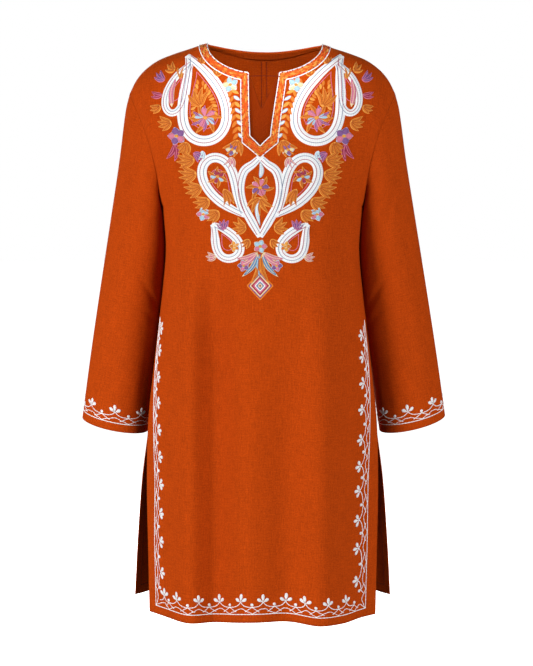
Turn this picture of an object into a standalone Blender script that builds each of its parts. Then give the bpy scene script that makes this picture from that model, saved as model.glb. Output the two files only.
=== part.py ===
"""A long-sleeved tunic with a slit neck and open side slits, in the hollow form of a worn garment.

Metres, +Z up. The front faces -Y, and the origin is where the wearer's shoulders hold the neck.
Every cloth wall is a flat slab of cells whose corners are moved to the worked-out form.
"""

import math
from collections import namedtuple

import bmesh
import bpy
from mathutils import Vector
from mathutils.bvhtree import BVHTree

# The cloth and its seams
CLOTH = 0.0015
TRIM = 0.0010
SEAM = 0.0005
CLEAR = 0.0008
SEAM_MARGIN = 0.0006

# The neck: a wide shallow oval in front, a shallow one behind, and a pointed slit
NECK_HALF_WIDTH = 0.0925
NECK_FRONT_DROP = 0.050
NECK_BACK_DEPTH = 0.048
BAND_WIDTH = 0.0145
BAND_SET_IN = 0.0008
SLIT_HALF_TOP = 0.0245
SLIT_HALF_FOOT = 0.0155
SLIT_FOOT_Z = -0.1475
SLIT_TIP_Z = -0.1630
INSET_MARGIN = 0.009
NOTCH_HALF = 0.0215
NOTCH_TIP_Z = -0.104

# The middle line of the front leans a little: where it stands at the neck and below the slit
MIDDLE_AT_NECK = 0.0040
MIDDLE_BELOW_SLIT = -0.0035

# The armholes
SHOULDER_TIP = Vector((0.216, 0.0, -0.080))
UNDERARM = Vector((0.166, 0.0, -0.262))
ARMHOLE_DEPTH = 0.055
ARMHOLE_BOW = 0.012
BOW_FADES_BY = 0.35

# The body below the underarms
HEM_Z = -0.922
FRONT_DROP = 0.011
SLIT_TOP_Z = -0.455
CORNER_RISE = 0.003
HEM_FALLS_FROM_Z = -0.600
FACING_DEPTH = 0.011
SEAM_TAPE = 0.008

# The cuffs: how far the front edge dips, and how far the left one swings further out
CUFF_DIP = 0.006
LEFT_SWING = 0.004

# Cells of each wall: a sleeve has one round the armhole for each row of the two yokes
YOKE_ROWS = 12
BODY_ROWS = 24
FRONT_CELLS = (28, YOKE_ROWS + BODY_ROWS)
BACK_CELLS = (11, YOKE_ROWS + BODY_ROWS)
SLEEVE_CELLS = (2 * YOKE_ROWS, 16)
YOKE_SHARE = YOKE_ROWS / (YOKE_ROWS + BODY_ROWS)

# How the cells crowd to the sides, how full a row's curve is, how flat its middle lies, and how
# the folds die out towards a seam, or partly towards a free edge
SPREAD = 1.35
FULLNESS = 2.3
FLATNESS = 4
HOLD = 6
FREE_EDGE_SHARE = 0.35

Shoulder = namedtuple("Shoulder", "x z")
Station = namedtuple("Station", "angle front_z front_depth back_z back_depth round")
Level = namedtuple("Level", "z front_x front_depth front_edge back_x back_depth back_edge round")
Sleeve = namedtuple("Sleeve", "share outer_x outer_z inner_x inner_z depth back")
Fold = namedtuple("Fold", "x half_width height starts full")

# The shoulder line seen from the front, from the middle out to the shoulder tip
SHOULDERS = (
    Shoulder(0.000, 0.0045),
    Shoulder(0.060, 0.0030),
    Shoulder(0.0925, 0.0000),
    Shoulder(0.120, -0.0085),
    Shoulder(0.146, -0.0170),
    Shoulder(0.171, -0.0275),
    Shoulder(0.192, -0.0430),
    Shoulder(0.206, -0.0600),
    Shoulder(0.216, -0.0800),
)

# The yoke, by the angle round the armhole: the middle line of the front and of the back
STATIONS = (
    Station(0, 0.0045, 0.000, 0.0045, 0.000, 1.3),
    Station(20, -0.004, 0.030, -0.001, 0.028, 1.3),
    Station(40, -0.022, 0.054, -0.013, 0.050, 1.3),
    Station(60, -0.050, 0.072, -0.036, 0.068, 1.3),
    Station(80, -0.085, 0.086, -0.068, 0.082, 1.3),
    Station(100, -0.125, 0.098, -0.108, 0.092, 1.35),
    Station(120, -0.165, 0.107, -0.150, 0.098, 1.45),
    Station(140, -0.202, 0.113, -0.192, 0.101, 1.6),
    Station(160, -0.234, 0.116, -0.230, 0.102, 1.8),
    Station(180, -0.262, 0.117, -0.262, 0.102, 2.0),
)

# The body, by height: half widths, depths at the middle and at the panels' edges
LEVELS = (
    Level(-0.262, 0.1660, 0.117, 0.000, 0.1660, 0.102, 0.000, 2.0),
    Level(-0.330, 0.1590, 0.115, 0.000, 0.1590, 0.099, 0.000, 2.0),
    Level(-0.400, 0.1645, 0.113, 0.000, 0.1645, 0.098, 0.000, 2.0),
    Level(-0.455, 0.1710, 0.113, 0.000, 0.1710, 0.100, 0.000, 2.0),
    Level(-0.530, 0.1800, 0.113, 0.004, 0.1800, 0.104, 0.003, 1.75),
    Level(-0.620, 0.1890, 0.114, 0.013, 0.1885, 0.108, 0.009, 1.35),
    Level(-0.720, 0.1910, 0.116, 0.024, 0.2015, 0.111, 0.016, 1.1),
    Level(-0.820, 0.1890, 0.118, 0.033, 0.2095, 0.113, 0.022, 1.0),
    Level(HEM_Z, 0.1870, 0.121, 0.042, 0.2155, 0.115, 0.028, 1.0),
)

# The sleeve, from armhole to cuff: its outer and inner lines, half its depth, and its set to the back
SLEEVES = (
    Sleeve(0.00, 0.2160, -0.0800, 0.1660, -0.2620, 0.055, 0.000),
    Sleeve(0.05, 0.2230, -0.1068, 0.1658, -0.2808, 0.057, 0.005),
    Sleeve(0.20, 0.2348, -0.1873, 0.1625, -0.3373, 0.060, 0.018),
    Sleeve(0.40, 0.2525, -0.2946, 0.1645, -0.4126, 0.060, 0.030),
    Sleeve(0.60, 0.2700, -0.4019, 0.1715, -0.4879, 0.057, 0.034),
    Sleeve(0.80, 0.2865, -0.5092, 0.1815, -0.5632, 0.052, 0.034),
    Sleeve(1.00, 0.3015, -0.6165, 0.1915, -0.6385, 0.047, 0.032),
)

# The soft upright folds: middle line, half width, height (a trough is negative), and the two
# heights between which each one grows
FRONT_FOLDS = (
    Fold(-0.150, 0.024, 0.0030, -0.40, -0.62),
    Fold(-0.098, 0.026, -0.0085, -0.34, -0.60),
    Fold(-0.030, 0.036, 0.0040, -0.42, -0.75),
    Fold(0.022, 0.028, -0.0050, -0.46, -0.84),
    Fold(0.092, 0.034, 0.0090, -0.50, -0.86),
    Fold(0.150, 0.022, -0.0055, -0.38, -0.66),
)
BACK_FOLDS = (
    Fold(-0.120, 0.032, -0.0070, -0.40, -0.75),
    Fold(-0.052, 0.030, 0.0060, -0.46, -0.80),
    Fold(0.040, 0.034, -0.0060, -0.50, -0.86),
    Fold(0.108, 0.032, 0.0070, -0.42, -0.78),
)
HEM_WAVES = (
    Fold(0.010, 0.060, 0.0040, HEM_FALLS_FROM_Z, HEM_Z),
    Fold(-0.125, 0.045, -0.0035, HEM_FALLS_FROM_Z, HEM_Z),
    Fold(0.105, 0.045, -0.0050, HEM_FALLS_FROM_Z, HEM_Z),
    Fold(0.195, 0.040, -0.0050, HEM_FALLS_FROM_Z, HEM_Z),
)

CLOTH_COLOUR = (0.52, 0.065, 0.008, 1.0)
BAND_COLOUR = (0.85, 0.16, 0.02, 1.0)
INNER_COLOUR = (0.42, 0.050, 0.007, 1.0)


def smooth(rows, column, at):
    """The value of a table's column at a key, on a smooth curve through its rows."""
    keys = [row[0] for row in rows]
    values = [getattr(row, column) for row in rows]
    rising = keys[-1] > keys[0]
    last = len(rows) - 2
    i = next((n for n in range(last) if (at < keys[n + 1]) == rising and at != keys[n + 1]), last)

    def slope(n):
        low, high = max(n - 1, 0), min(n + 1, len(rows) - 1)
        return (values[high] - values[low]) / (keys[high] - keys[low])

    span = keys[i + 1] - keys[i]
    t = min(max((at - keys[i]) / span, 0.0), 1.0)
    start = (1 + 2 * t) * (1 - t) ** 2 * values[i] + t * (1 - t) ** 2 * span * slope(i)
    end = t * t * (3 - 2 * t) * values[i + 1] + t * t * (t - 1) * span * slope(i + 1)
    return start + end


def ease(low, high, at):
    """A smooth step from 0 at low to 1 at high."""
    t = min(max((at - low) / (high - low), 0.0), 1.0)
    return t * t * (3 - 2 * t)


def relief(folds, x, z):
    """How far the folds lift the cloth at one place."""
    return sum(
        fold.height * math.exp(-(((x - fold.x) / fold.half_width) ** 2)) * ease(fold.starts, fold.full, z)
        for fold in folds
    )


def armhole(angle, side=1):
    """A point of the armhole seam: 0 at the shoulder tip, 180 at the underarm, -180 to 0 behind."""
    turn = math.radians(angle)
    middle, half = (SHOULDER_TIP + UNDERARM) / 2, (SHOULDER_TIP - UNDERARM) / 2
    point = middle + half * math.cos(turn)
    point.x -= ARMHOLE_BOW * math.sin(turn) ** 2
    point.y = -ARMHOLE_DEPTH * math.sin(turn)
    point.x *= side
    return point


def yoke_row(front, share):
    """The edge, middle height, middle depth and roundness of a row between shoulder and underarm."""
    angle = 180 * share
    edge = armhole(angle)
    edge.y = abs(edge.y)
    name = "front" if front else "back"
    middle = smooth(STATIONS, name + "_z", angle)
    depth = smooth(STATIONS, name + "_depth", angle)
    return edge, middle, depth, smooth(STATIONS, "round", angle)


def body_row(front, share):
    """The same four values for a row between underarm and hem."""
    z = UNDERARM.z + (HEM_Z - UNDERARM.z) * share
    name = "front" if front else "back"
    edge = Vector((smooth(LEVELS, name + "_x", z), smooth(LEVELS, name + "_edge", z), z))
    fall = ease(HEM_FALLS_FROM_Z, HEM_Z, z)
    middle = z - FRONT_DROP * fall if front else z
    edge.z = middle + CORNER_RISE * fall
    return edge, middle, smooth(LEVELS, name + "_depth", z), smooth(LEVELS, "round", z)


def panel_point(front, u, v):
    """A point of the front or back: u from -1 to 1 across, v from 0 at the shoulders to 1 at the hem."""
    if v < YOKE_SHARE:
        edge, middle, depth, roundness = yoke_row(front, v / YOKE_SHARE)
    else:
        edge, middle, depth, roundness = body_row(front, (v - YOKE_SHARE) / (1 - YOKE_SHARE))
    across = math.sin(SPREAD * u) / math.sin(SPREAD)
    x = (edge.x - SEAM / 2) * across
    crown = max(1 - abs(across) ** FULLNESS, 0.0) ** (1 / roundness)
    if v < YOKE_SHARE:
        tip, top = SHOULDERS[-1].z, SHOULDERS[0].z
        rise = (smooth(SHOULDERS, "z", abs(across) * SHOULDER_TIP.x) - tip) / (top - tip)
    else:
        rise = 1 - abs(across) ** FLATNESS
    z = edge.z + (middle - edge.z) * rise
    y = edge.y + SEAM / 2 + (depth - edge.y) * crown
    at_edge = FREE_EDGE_SHARE if z < SLIT_TOP_Z else 0.0
    share = 1 - (1 - at_edge) * abs(across) ** HOLD
    y += relief(FRONT_FOLDS if front else BACK_FOLDS, x, z) * share
    if front:
        z += relief(HEM_WAVES, x, z)
    return Vector((x, -y if front else y, z))


def sleeve_point(side, u, v):
    """A point of a sleeve: u once round from the shoulder tip over the front, v from armhole to cuff."""
    turn = 2 * math.pi * u
    outer = Vector((smooth(SLEEVES, "outer_x", v), 0, smooth(SLEEVES, "outer_z", v)))
    inner = Vector((smooth(SLEEVES, "inner_x", v), 0, smooth(SLEEVES, "inner_z", v)))
    point = (outer + inner) / 2 + (outer - inner) / 2 * math.cos(turn)
    point.y = smooth(SLEEVES, "back", v) - smooth(SLEEVES, "depth", v) * math.sin(turn)
    bow = ARMHOLE_BOW * max(1 - v / BOW_FADES_BY, 0.0) ** 2
    point.x += SEAM / 2 - bow * math.sin(turn) ** 2
    point.z -= CUFF_DIP * math.sin(turn) * v**2
    if side > 0:
        point.x += LEFT_SWING * v
        point.z += LEFT_SWING * v * (1 + math.cos(turn)) / 2
    point.x *= side
    return point


def inward(point_of, u, v, limits, towards):
    """The unit direction from the outer face of a wall to its inner one."""
    (u_low, u_high), step = limits, 0.004
    across = point_of(min(u + step, u_high), v) - point_of(max(u - step, u_low), v)
    down = point_of(u, min(v + step, 1.0)) - point_of(u, max(v - step, 0.0))
    normal = across.cross(down).normalized()
    return -normal if normal.dot(towards - point_of(u, v)) < 0 else normal


def paint(obj, colour, roughness):
    """Gives an object its own plain material."""
    material = bpy.data.materials.new(obj.name)
    material.use_nodes = True
    shader = material.node_tree.nodes["Principled BSDF"]
    shader.inputs["Base Color"].default_value = colour
    shader.inputs["Roughness"].default_value = roughness
    obj.data.materials.append(material)


def wall(name, collection, cells, place, colour, loop=False):
    """Makes one cloth wall: a slab of cells whose corners place(u, v, w) moves, w 0 outside and 1 inside."""
    bm = bmesh.new()
    bmesh.ops.create_grid(bm, x_segments=cells[0], y_segments=cells[1], size=0.5)
    made = bmesh.ops.extrude_face_region(bm, geom=bm.faces[:], use_keep_orig=True)
    bmesh.ops.translate(bm, vec=(0, 0, 1), verts=[v for v in made["geom"] if isinstance(v, bmesh.types.BMVert)])
    if loop:
        ends = [face for face in bm.faces if abs(abs(face.calc_center_median().x) - 0.5) < 1e-4]
        bmesh.ops.delete(bm, geom=ends, context="FACES_ONLY")
    for vert in bm.verts:
        vert.co = place(vert.co.x + 0.5, vert.co.y + 0.5, vert.co.z)
    bmesh.ops.remove_doubles(bm, verts=bm.verts[:], dist=1e-6)
    bmesh.ops.recalc_face_normals(bm, faces=bm.faces[:])
    mesh = bpy.data.meshes.new(name)
    bm.to_mesh(mesh)
    bm.free()
    mesh.shade_smooth()
    obj = bpy.data.objects.new(name, mesh)
    collection.objects.link(obj)
    paint(obj, colour, 0.85)
    return obj


def prism(name, collection, outline, direction, low, high):
    """Makes a cutter: an outline swept from low to high along Y or Z."""
    bm = bmesh.new()
    if direction == "Y":
        corners = [bm.verts.new((a, low, b)) for a, b in outline]
        sweep = Vector((0, high - low, 0))
    else:
        corners = [bm.verts.new((a, b, low)) for a, b in outline]
        sweep = Vector((0, 0, high - low))
    face = bm.faces.new(corners)
    made = bmesh.ops.extrude_face_region(bm, geom=[face], use_keep_orig=True)
    bmesh.ops.translate(bm, vec=sweep, verts=[v for v in made["geom"] if isinstance(v, bmesh.types.BMVert)])
    bmesh.ops.recalc_face_normals(bm, faces=bm.faces[:])
    mesh = bpy.data.meshes.new(name)
    bm.to_mesh(mesh)
    bm.free()
    cutter = bpy.data.objects.new(name, mesh)
    collection.objects.link(cutter)
    cutter.hide_render = True
    cutter.display_type = "WIRE"
    return cutter


def cut(obj, cutter):
    """Takes the cutter's shape out of the object."""
    modifier = obj.modifiers.new("neck", "BOOLEAN")
    modifier.operation = "DIFFERENCE"
    modifier.solver = "EXACT"
    modifier.object = cutter


def front_wall(u, v, w):
    """A corner of the front."""
    across = 2 * u - 1
    point = panel_point(True, across, v)
    direction = inward(lambda a, b: panel_point(True, a, b), across, v, (-1, 1), Vector((0, 0, point.z - 0.1)))
    return point + level_at_seams(direction, across, v) * CLOTH * w


def back_wall(side):
    """The function that places the corners of one half of the back."""

    def place(u, v, w):
        across = side * u
        point = panel_point(False, across, v)
        towards = Vector((0, 0, point.z - 0.1))
        direction = inward(lambda a, b: panel_point(False, a, b), across, v, (-1, 1), towards)
        if u == 0:
            direction.x = 0
        point.x += side * SEAM / 2 * (1 - u)
        return point + level_at_seams(direction, across, v) * CLOTH * w

    return place


def level_at_seams(direction, across, v):
    """Turns a wall's end at the shoulder, side and armhole seams, so that the two sides stay apart."""
    on_side = abs(across) > 0.999
    if v < 0.001 or on_side and v > YOKE_SHARE - 0.001 and panel_point(True, 1, v).z > SLIT_TOP_Z:
        direction.y = 0
    if on_side and v < YOKE_SHARE:
        turn = math.pi * v / YOKE_SHARE
        front = direction.y > 0 or v < 0.001
        return mitre(direction, turn if front else -turn, math.copysign(1, across))
    return direction.normalized()


def mitre(direction, turn, side):
    """Turns a wall's end at the armhole towards the hole's middle, wholly at the shoulder tip."""
    half = SHOULDER_TIP - UNDERARM
    inside = Vector((0, math.sin(turn) / ARMHOLE_DEPTH, 0)) - half * (2 * math.cos(turn) / half.length_squared)
    inside.normalize()
    inside.x *= side
    share = (1 + math.cos(turn)) / 2
    return (direction.normalized() * (1 - share) + inside * share).normalized()


def sleeve_wall(side):
    """The function that places the corners of one sleeve."""

    def place(u, v, w):
        turn = u % 1.0
        point = sleeve_point(side, turn, v)
        axis = (sleeve_point(side, 0, v) + sleeve_point(side, 0.5, v)) / 2
        direction = inward(lambda a, b: sleeve_point(side, a, b), turn, v, (-1, 2), axis)
        if v < 0.001:
            direction = mitre(direction, 2 * math.pi * turn, side)
        return point + direction * CLOTH * w

    return place


def laid_on(objects, ahead):
    """The function that finds the place on the objects that a look ahead meets, moved out by lift.

    A look along +Y takes (x, z), and a look along -Z takes (x, y).
    """
    depsgraph = bpy.context.evaluated_depsgraph_get()
    trees = [BVHTree.FromObject(obj, depsgraph) for obj in objects]
    reach = 0.003

    def hit(a, b):
        for nudge in (0, SEAM):
            start = Vector((a + nudge, 0, b)) if ahead.y else Vector((a + nudge, b, 0))
            found = [tree.ray_cast(start - ahead, ahead) for tree in trees]
            met = [h for h in found if h[0]]
            if met:
                return min(met, key=lambda h: h[3])[0] - Vector((nudge, 0, 0))
        return None

    def place(a, b, lift):
        point = hit(a, b)
        across = (hit(a + reach, b) or point) - (hit(a - reach, b) or point)
        along = (hit(a, b - reach) or point) - (hit(a, b + reach) or point)
        normal = across.cross(along).normalized()
        return point + normal * (lift if normal.dot(ahead) < 0 else -lift)

    return place


def shoulder_z(x):
    """The height of the shoulder line at a distance from the middle."""
    return smooth(SHOULDERS, "z", abs(x))


def middle_line(z):
    """Where the middle of the front stands at a height."""
    return MIDDLE_AT_NECK + (MIDDLE_BELOW_SLIT - MIDDLE_AT_NECK) * ease(0.0, SLIT_TIP_Z, z)


def neck_arc(half_width, drop, foot_x, side, count=18):
    """Points (x, z) of one half of a front neck oval, from the shoulder line to where x = foot_x."""

    def at(turn):
        return half_width * math.cos(turn), -drop * math.sin(turn)

    def under_shoulder(turn):
        x, z = at(turn)
        return z < shoulder_z(side * x + middle_line(z)) - SEAM_MARGIN

    start = next(n / 1000 for n in range(1571) if under_shoulder(n / 1000))
    end = math.acos(foot_x / half_width)
    return [at(start + (end - start) * (n / count) ** 1.5) for n in range(count + 1)]


def straight(start, end, count):
    """Points (x, z) after start up to and with end, evenly spaced."""
    return [tuple(a + (b - a) * (n + 1) / count for a, b in zip(start, end)) for n in range(count)]


def band_edge(width):
    """The function that gives one side of the line at a distance from the opening, shoulder to slit tip."""

    def half(side):
        foot_x = SLIT_HALF_TOP + 0.85 * width
        arc = neck_arc(NECK_HALF_WIDTH + width, NECK_FRONT_DROP + width, foot_x, side)
        foot = (SLIT_HALF_FOOT + 0.9 * width, SLIT_FOOT_Z - 0.85 * width)
        tip = (0.0, SLIT_TIP_Z - 1.4 * width)
        return arc + straight(arc[-1], foot, 12) + straight(foot, tip, 3)

    return half


def both_sides(half):
    """A line from one shoulder to the other, out of its two halves, leaning with the middle line."""
    whole = half(1) + [(-x, z) for x, z in reversed(half(-1)[:-1])]
    return [(x + middle_line(z), z) for x, z in whole]


def ribbon(name, collection, inner, outer, across, place, low, high, colour):
    """A flat strip between two lines of equal length, laid on a face between two lifts."""
    count = len(inner) - 1

    def corner(u, v, w):
        n = min(round(u * count), count)
        x = inner[n][0] + (outer[n][0] - inner[n][0]) * v
        z = inner[n][1] + (outer[n][1] - inner[n][1]) * v
        return place(x, z, low + (high - low) * w)

    return wall(name, collection, (count, across), corner, colour)


def neck_outline():
    """The front neck opening as an outline (x, z), closed above the shoulders."""
    edge = band_edge(0.0)
    return both_sides(lambda side: [(edge(side)[0][0], 0.05)] + edge(side))


def back_neck_outline():
    """The back neck opening as an outline (x, y)."""
    turns = [math.pi * n / 24 for n in range(25)]
    oval = [(NECK_HALF_WIDTH * math.cos(t), NECK_BACK_DEPTH * math.sin(t)) for t in turns]
    whole = [(NECK_HALF_WIDTH, -0.02)] + oval + [(-NECK_HALF_WIDTH, -0.02)]
    return [(x + MIDDLE_AT_NECK, y) for x, y in whole]


def inset_edges():
    """The notch edge and the outer edge of the inset behind the slit, right side, top to tip."""
    top_z = -NECK_FRONT_DROP * 0.96 - 0.004
    notch = [(NOTCH_HALF, top_z)] + straight((NOTCH_HALF, top_z), (0.0, NOTCH_TIP_Z), 12)
    margin = SLIT_HALF_TOP + INSET_MARGIN
    foot = (SLIT_HALF_FOOT + INSET_MARGIN, SLIT_FOOT_Z - INSET_MARGIN)
    tip = (0.0, SLIT_TIP_Z - INSET_MARGIN)
    outer = [(margin, top_z)] + straight((margin, top_z), foot, 9) + straight(foot, tip, 3)
    return notch, outer


def back_facing(collection, place):
    """The strip inside the back of the neck."""

    def corner(u, v, w):
        turn = math.pi * (0.06 + 0.88 * u)
        x = (NECK_HALF_WIDTH + 0.001 + FACING_DEPTH * 0.8 * v) * math.cos(turn)
        y = (NECK_BACK_DEPTH + 0.001 + FACING_DEPTH * v) * math.sin(turn)
        return place(x + MIDDLE_AT_NECK, y, -(CLOTH + CLEAR) - TRIM * w)

    return wall("back_neck_facing", collection, (30, 3), corner, INNER_COLOUR)


def centre_seam(collection):
    """The pressed seam allowance inside the middle of the back, from facing to hem."""
    top, foot = 0.12, 0.985

    def corner(u, v, w):
        down = top + (foot - top) * v
        across = -0.012 + 0.05 * u
        point = panel_point(False, across, down)
        direction = inward(lambda a, b: panel_point(False, a, b), across, down, (-1, 1), Vector((0, 0, point.z)))
        point.x = SEAM_TAPE * (u - 0.25)
        return point + direction * (CLOTH + CLEAR + TRIM * w)

    return wall("centre_back_seam", collection, (1, 28), corner, INNER_COLOUR)


def main():
    """Clears the scene and builds the tunic."""
    for obj in list(bpy.data.objects):
        bpy.data.objects.remove(obj)
    tunic = bpy.data.collections.new("tunic")
    cutters = bpy.data.collections.new("cutters")
    bpy.context.scene.collection.children.link(tunic)
    bpy.context.scene.collection.children.link(cutters)

    front = wall("front", tunic, FRONT_CELLS, front_wall, CLOTH_COLOUR)
    bpy.context.view_layer.update()
    on_front = laid_on([front], Vector((0, 1, 0)))
    cut(front, prism("neck_cut", cutters, neck_outline(), "Y", -0.30, 0.05))

    back_cut = prism("back_neck_cut", cutters, back_neck_outline(), "Z", -0.035, 0.05)
    halves = [
        wall(name, tunic, BACK_CELLS, back_wall(side), CLOTH_COLOUR)
        for name, side in (("back_left", 1), ("back_right", -1))
    ]
    bpy.context.view_layer.update()
    on_back = laid_on(halves, Vector((0, 0, -1)))
    for half in halves:
        cut(half, back_cut)
    for name, side in (("sleeve_left", 1), ("sleeve_right", -1)):
        wall(name, tunic, SLEEVE_CELLS, sleeve_wall(side), CLOTH_COLOUR, loop=True)

    inner, outer = both_sides(band_edge(BAND_SET_IN)), both_sides(band_edge(BAND_WIDTH))
    ribbon("neck_band", tunic, inner, outer, 2, on_front, CLEAR, CLEAR + TRIM, BAND_COLOUR)
    notch_line, rim_line = inset_edges()
    depth = CLOTH + CLEAR
    notch, rim = both_sides(lambda side: notch_line), both_sides(lambda side: rim_line)
    ribbon("slit_inset", tunic, notch, rim, 3, on_front, -depth, -depth - TRIM, INNER_COLOUR)
    back_facing(tunic, on_back)
    centre_seam(tunic)


main()
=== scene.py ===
"""Dresses the hollow, worn tunic: woven cloth, seams, neck band, borders and yoke embroidery.

Metres, +Z up. The front faces -Y and the origin is where the wearer's shoulders hold the neck.
"""

import logging
import math
import random
from bisect import bisect_right
from collections.abc import Callable, Iterable, Sequence
from dataclasses import dataclass, field
from enum import Enum
from functools import cached_property, lru_cache
from typing import NamedTuple

import bmesh
import bpy
import numpy as np
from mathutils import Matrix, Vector
from mathutils.bvhtree import BVHTree

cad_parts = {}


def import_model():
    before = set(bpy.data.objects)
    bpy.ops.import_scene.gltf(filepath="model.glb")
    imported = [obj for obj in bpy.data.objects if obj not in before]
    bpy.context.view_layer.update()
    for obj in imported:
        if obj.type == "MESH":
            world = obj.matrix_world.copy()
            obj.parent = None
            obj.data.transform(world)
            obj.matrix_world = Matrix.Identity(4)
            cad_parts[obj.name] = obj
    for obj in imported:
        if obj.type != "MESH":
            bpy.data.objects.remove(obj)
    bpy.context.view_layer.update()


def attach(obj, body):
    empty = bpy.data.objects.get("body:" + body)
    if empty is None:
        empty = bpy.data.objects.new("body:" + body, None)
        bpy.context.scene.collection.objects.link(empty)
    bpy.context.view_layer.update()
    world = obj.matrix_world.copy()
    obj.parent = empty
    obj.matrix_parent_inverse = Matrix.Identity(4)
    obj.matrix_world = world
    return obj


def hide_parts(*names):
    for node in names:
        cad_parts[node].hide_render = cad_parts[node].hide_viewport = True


LOG = logging.getLogger("tunic")
SHORTEST = 1e-12

Point = tuple[float, float]
Ground = Callable[[float, float, float], Vector]
Colour = tuple[float, float, float]
Stretch = tuple[float, float, float]


class Thread(Enum):
    """The embroidery threads, as linear colours."""

    WHITE = (0.72, 0.73, 0.74)
    CREAM = (0.68, 0.56, 0.34)
    ORANGE = (0.60, 0.17, 0.018)
    GOLD = (0.70, 0.30, 0.050)
    FLAME = (0.66, 0.085, 0.005)
    RED = (0.34, 0.022, 0.010)
    CRIMSON = (0.30, 0.030, 0.070)
    PINK = (0.56, 0.17, 0.26)
    PURPLE = (0.19, 0.085, 0.24)
    BLUE = (0.12, 0.24, 0.42)
    SKY = (0.34, 0.50, 0.62)
    SLATE = (0.16, 0.19, 0.29)
    RUST = (0.26, 0.030, 0.004)
    # SHADE is RUST darkened for the stitch rows inside the garment: the stitches are real, their darker colour is
    # painted shade.
    SHADE = (0.16, 0.014, 0.002)


class Shoulder(NamedTuple):
    """A point of the shoulder line seen from the front."""

    x: float
    z: float


class Station(NamedTuple):
    """A row of the yoke, by the angle round the armhole."""

    angle: float
    front_z: float
    front_depth: float
    back_z: float
    back_depth: float
    round: float


class Level(NamedTuple):
    """A row of the body, by its height."""

    z: float
    front_x: float
    front_depth: float
    front_edge: float
    back_x: float
    back_depth: float
    back_edge: float
    round: float


class Arm(NamedTuple):
    """A ring of the sleeve: its outer and inner ends, half its depth and its set to the back."""

    share: float
    outer_x: float
    outer_z: float
    inner_x: float
    inner_z: float
    depth: float
    back: float


class Fold(NamedTuple):
    """A soft upright fold; a trough has a negative height."""

    x: float
    half_width: float
    height: float
    starts: float
    full: float


class Crease(NamedTuple):
    """A short soft crease between two places of a wall, fading at both ends."""

    from_a: float
    from_b: float
    to_a: float
    to_b: float
    half_width: float
    height: float


class Boteh(NamedTuple):
    """A boteh's white outline: its round foot, size, turn from upright, hook and band."""

    x: float
    z: float
    height: float
    width: float
    turn: float
    hook: float
    band: float


class Bloom(NamedTuple):
    """A five-petalled flower with two petal colours and a rim."""

    x: float
    z: float
    radius: float
    first: Thread
    second: Thread
    rim: Thread


class Fan(NamedTuple):
    """Leaves from one root, each turned clockwise from upright."""

    x: float
    z: float
    first_turn: float
    turn_step: float
    count: int
    length: float
    width: float
    fill: Thread = Thread.ORANGE
    rim: Thread = Thread.GOLD


class Lamp(NamedTuple):
    """A large soft lamp that looks at the garment."""

    name: str
    place: tuple[float, float, float]
    size: float
    power: float


class Curve:
    """A smooth curve through the values of a table's column."""

    def __init__(self, rows: Sequence[NamedTuple], column: str) -> None:
        """Reads the keys in the first column and the values in the named one."""
        pairs = sorted((row[0], getattr(row, column)) for row in rows)
        self.keys = [key for key, _ in pairs]
        self.values = [value for _, value in pairs]
        last = len(pairs) - 1
        self.slopes = [
            (self.values[min(n + 1, last)] - self.values[max(n - 1, 0)])
            / (self.keys[min(n + 1, last)] - self.keys[max(n - 1, 0)])
            for n in range(last + 1)
        ]

    def __call__(self, at: float) -> float:
        """The curve's value at a key, held level past its ends."""
        i = min(max(bisect_right(self.keys, at) - 1, 0), len(self.keys) - 2)
        span = self.keys[i + 1] - self.keys[i]
        t = min(max((at - self.keys[i]) / span, 0.0), 1.0)
        start = (1 + 2 * t) * (1 - t) ** 2 * self.values[i] + t * (1 - t) ** 2 * span * self.slopes[i]
        end = t * t * (3 - 2 * t) * self.values[i + 1] + t * t * (t - 1) * span * self.slopes[i + 1]
        return start + end


def ease(low: float, high: float, at: float) -> float:
    """A smooth step from 0 at low to 1 at high."""
    t = min(max((at - low) / (high - low), 0.0), 1.0)
    return t * t * (3 - 2 * t)


def crease_height(creases: Iterable[Crease], a: float, b: float) -> float:
    """How far short creases lift a wall at one place.

    Args:
        creases: the creases, in the same two measures as the place.
        a: the first measure of the place.
        b: the second measure of the place.

    Returns:
        The lift in metres, negative in a trough.
    """
    total, beyond = 0.0, 0.3
    for crease in creases:
        along_a, along_b = crease.to_a - crease.from_a, crease.to_b - crease.from_b
        length = along_a * along_a + along_b * along_b
        t = ((a - crease.from_a) * along_a + (b - crease.from_b) * along_b) / length
        if -beyond < t < 1 + beyond:
            t_in = min(max(t, 0.0), 1.0)
            off = math.hypot(a - crease.from_a - along_a * t_in, b - crease.from_b - along_b * t_in)
            share = min(max(0.5 + (t - 0.5) / (1 + 2 * beyond), 0.0), 1.0)
            fade = math.sin(math.pi * share) ** 2
            total += crease.height * fade * math.exp(-((off / crease.half_width) ** 2))
    return total


def along_rows(points: np.ndarray) -> np.ndarray:
    """The distance of every point of a grid from its row's first one, along the row."""
    steps = np.linalg.norm(np.diff(points, axis=1), axis=2)
    return np.concatenate([np.zeros((steps.shape[0], 1)), np.cumsum(steps, axis=1)], axis=1)


def up_columns(points: np.ndarray) -> np.ndarray:
    """The distance of every point of a grid from its column's last one, along the column."""
    return along_rows(points[::-1].swapaxes(0, 1)).swapaxes(0, 1)[::-1]


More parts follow.
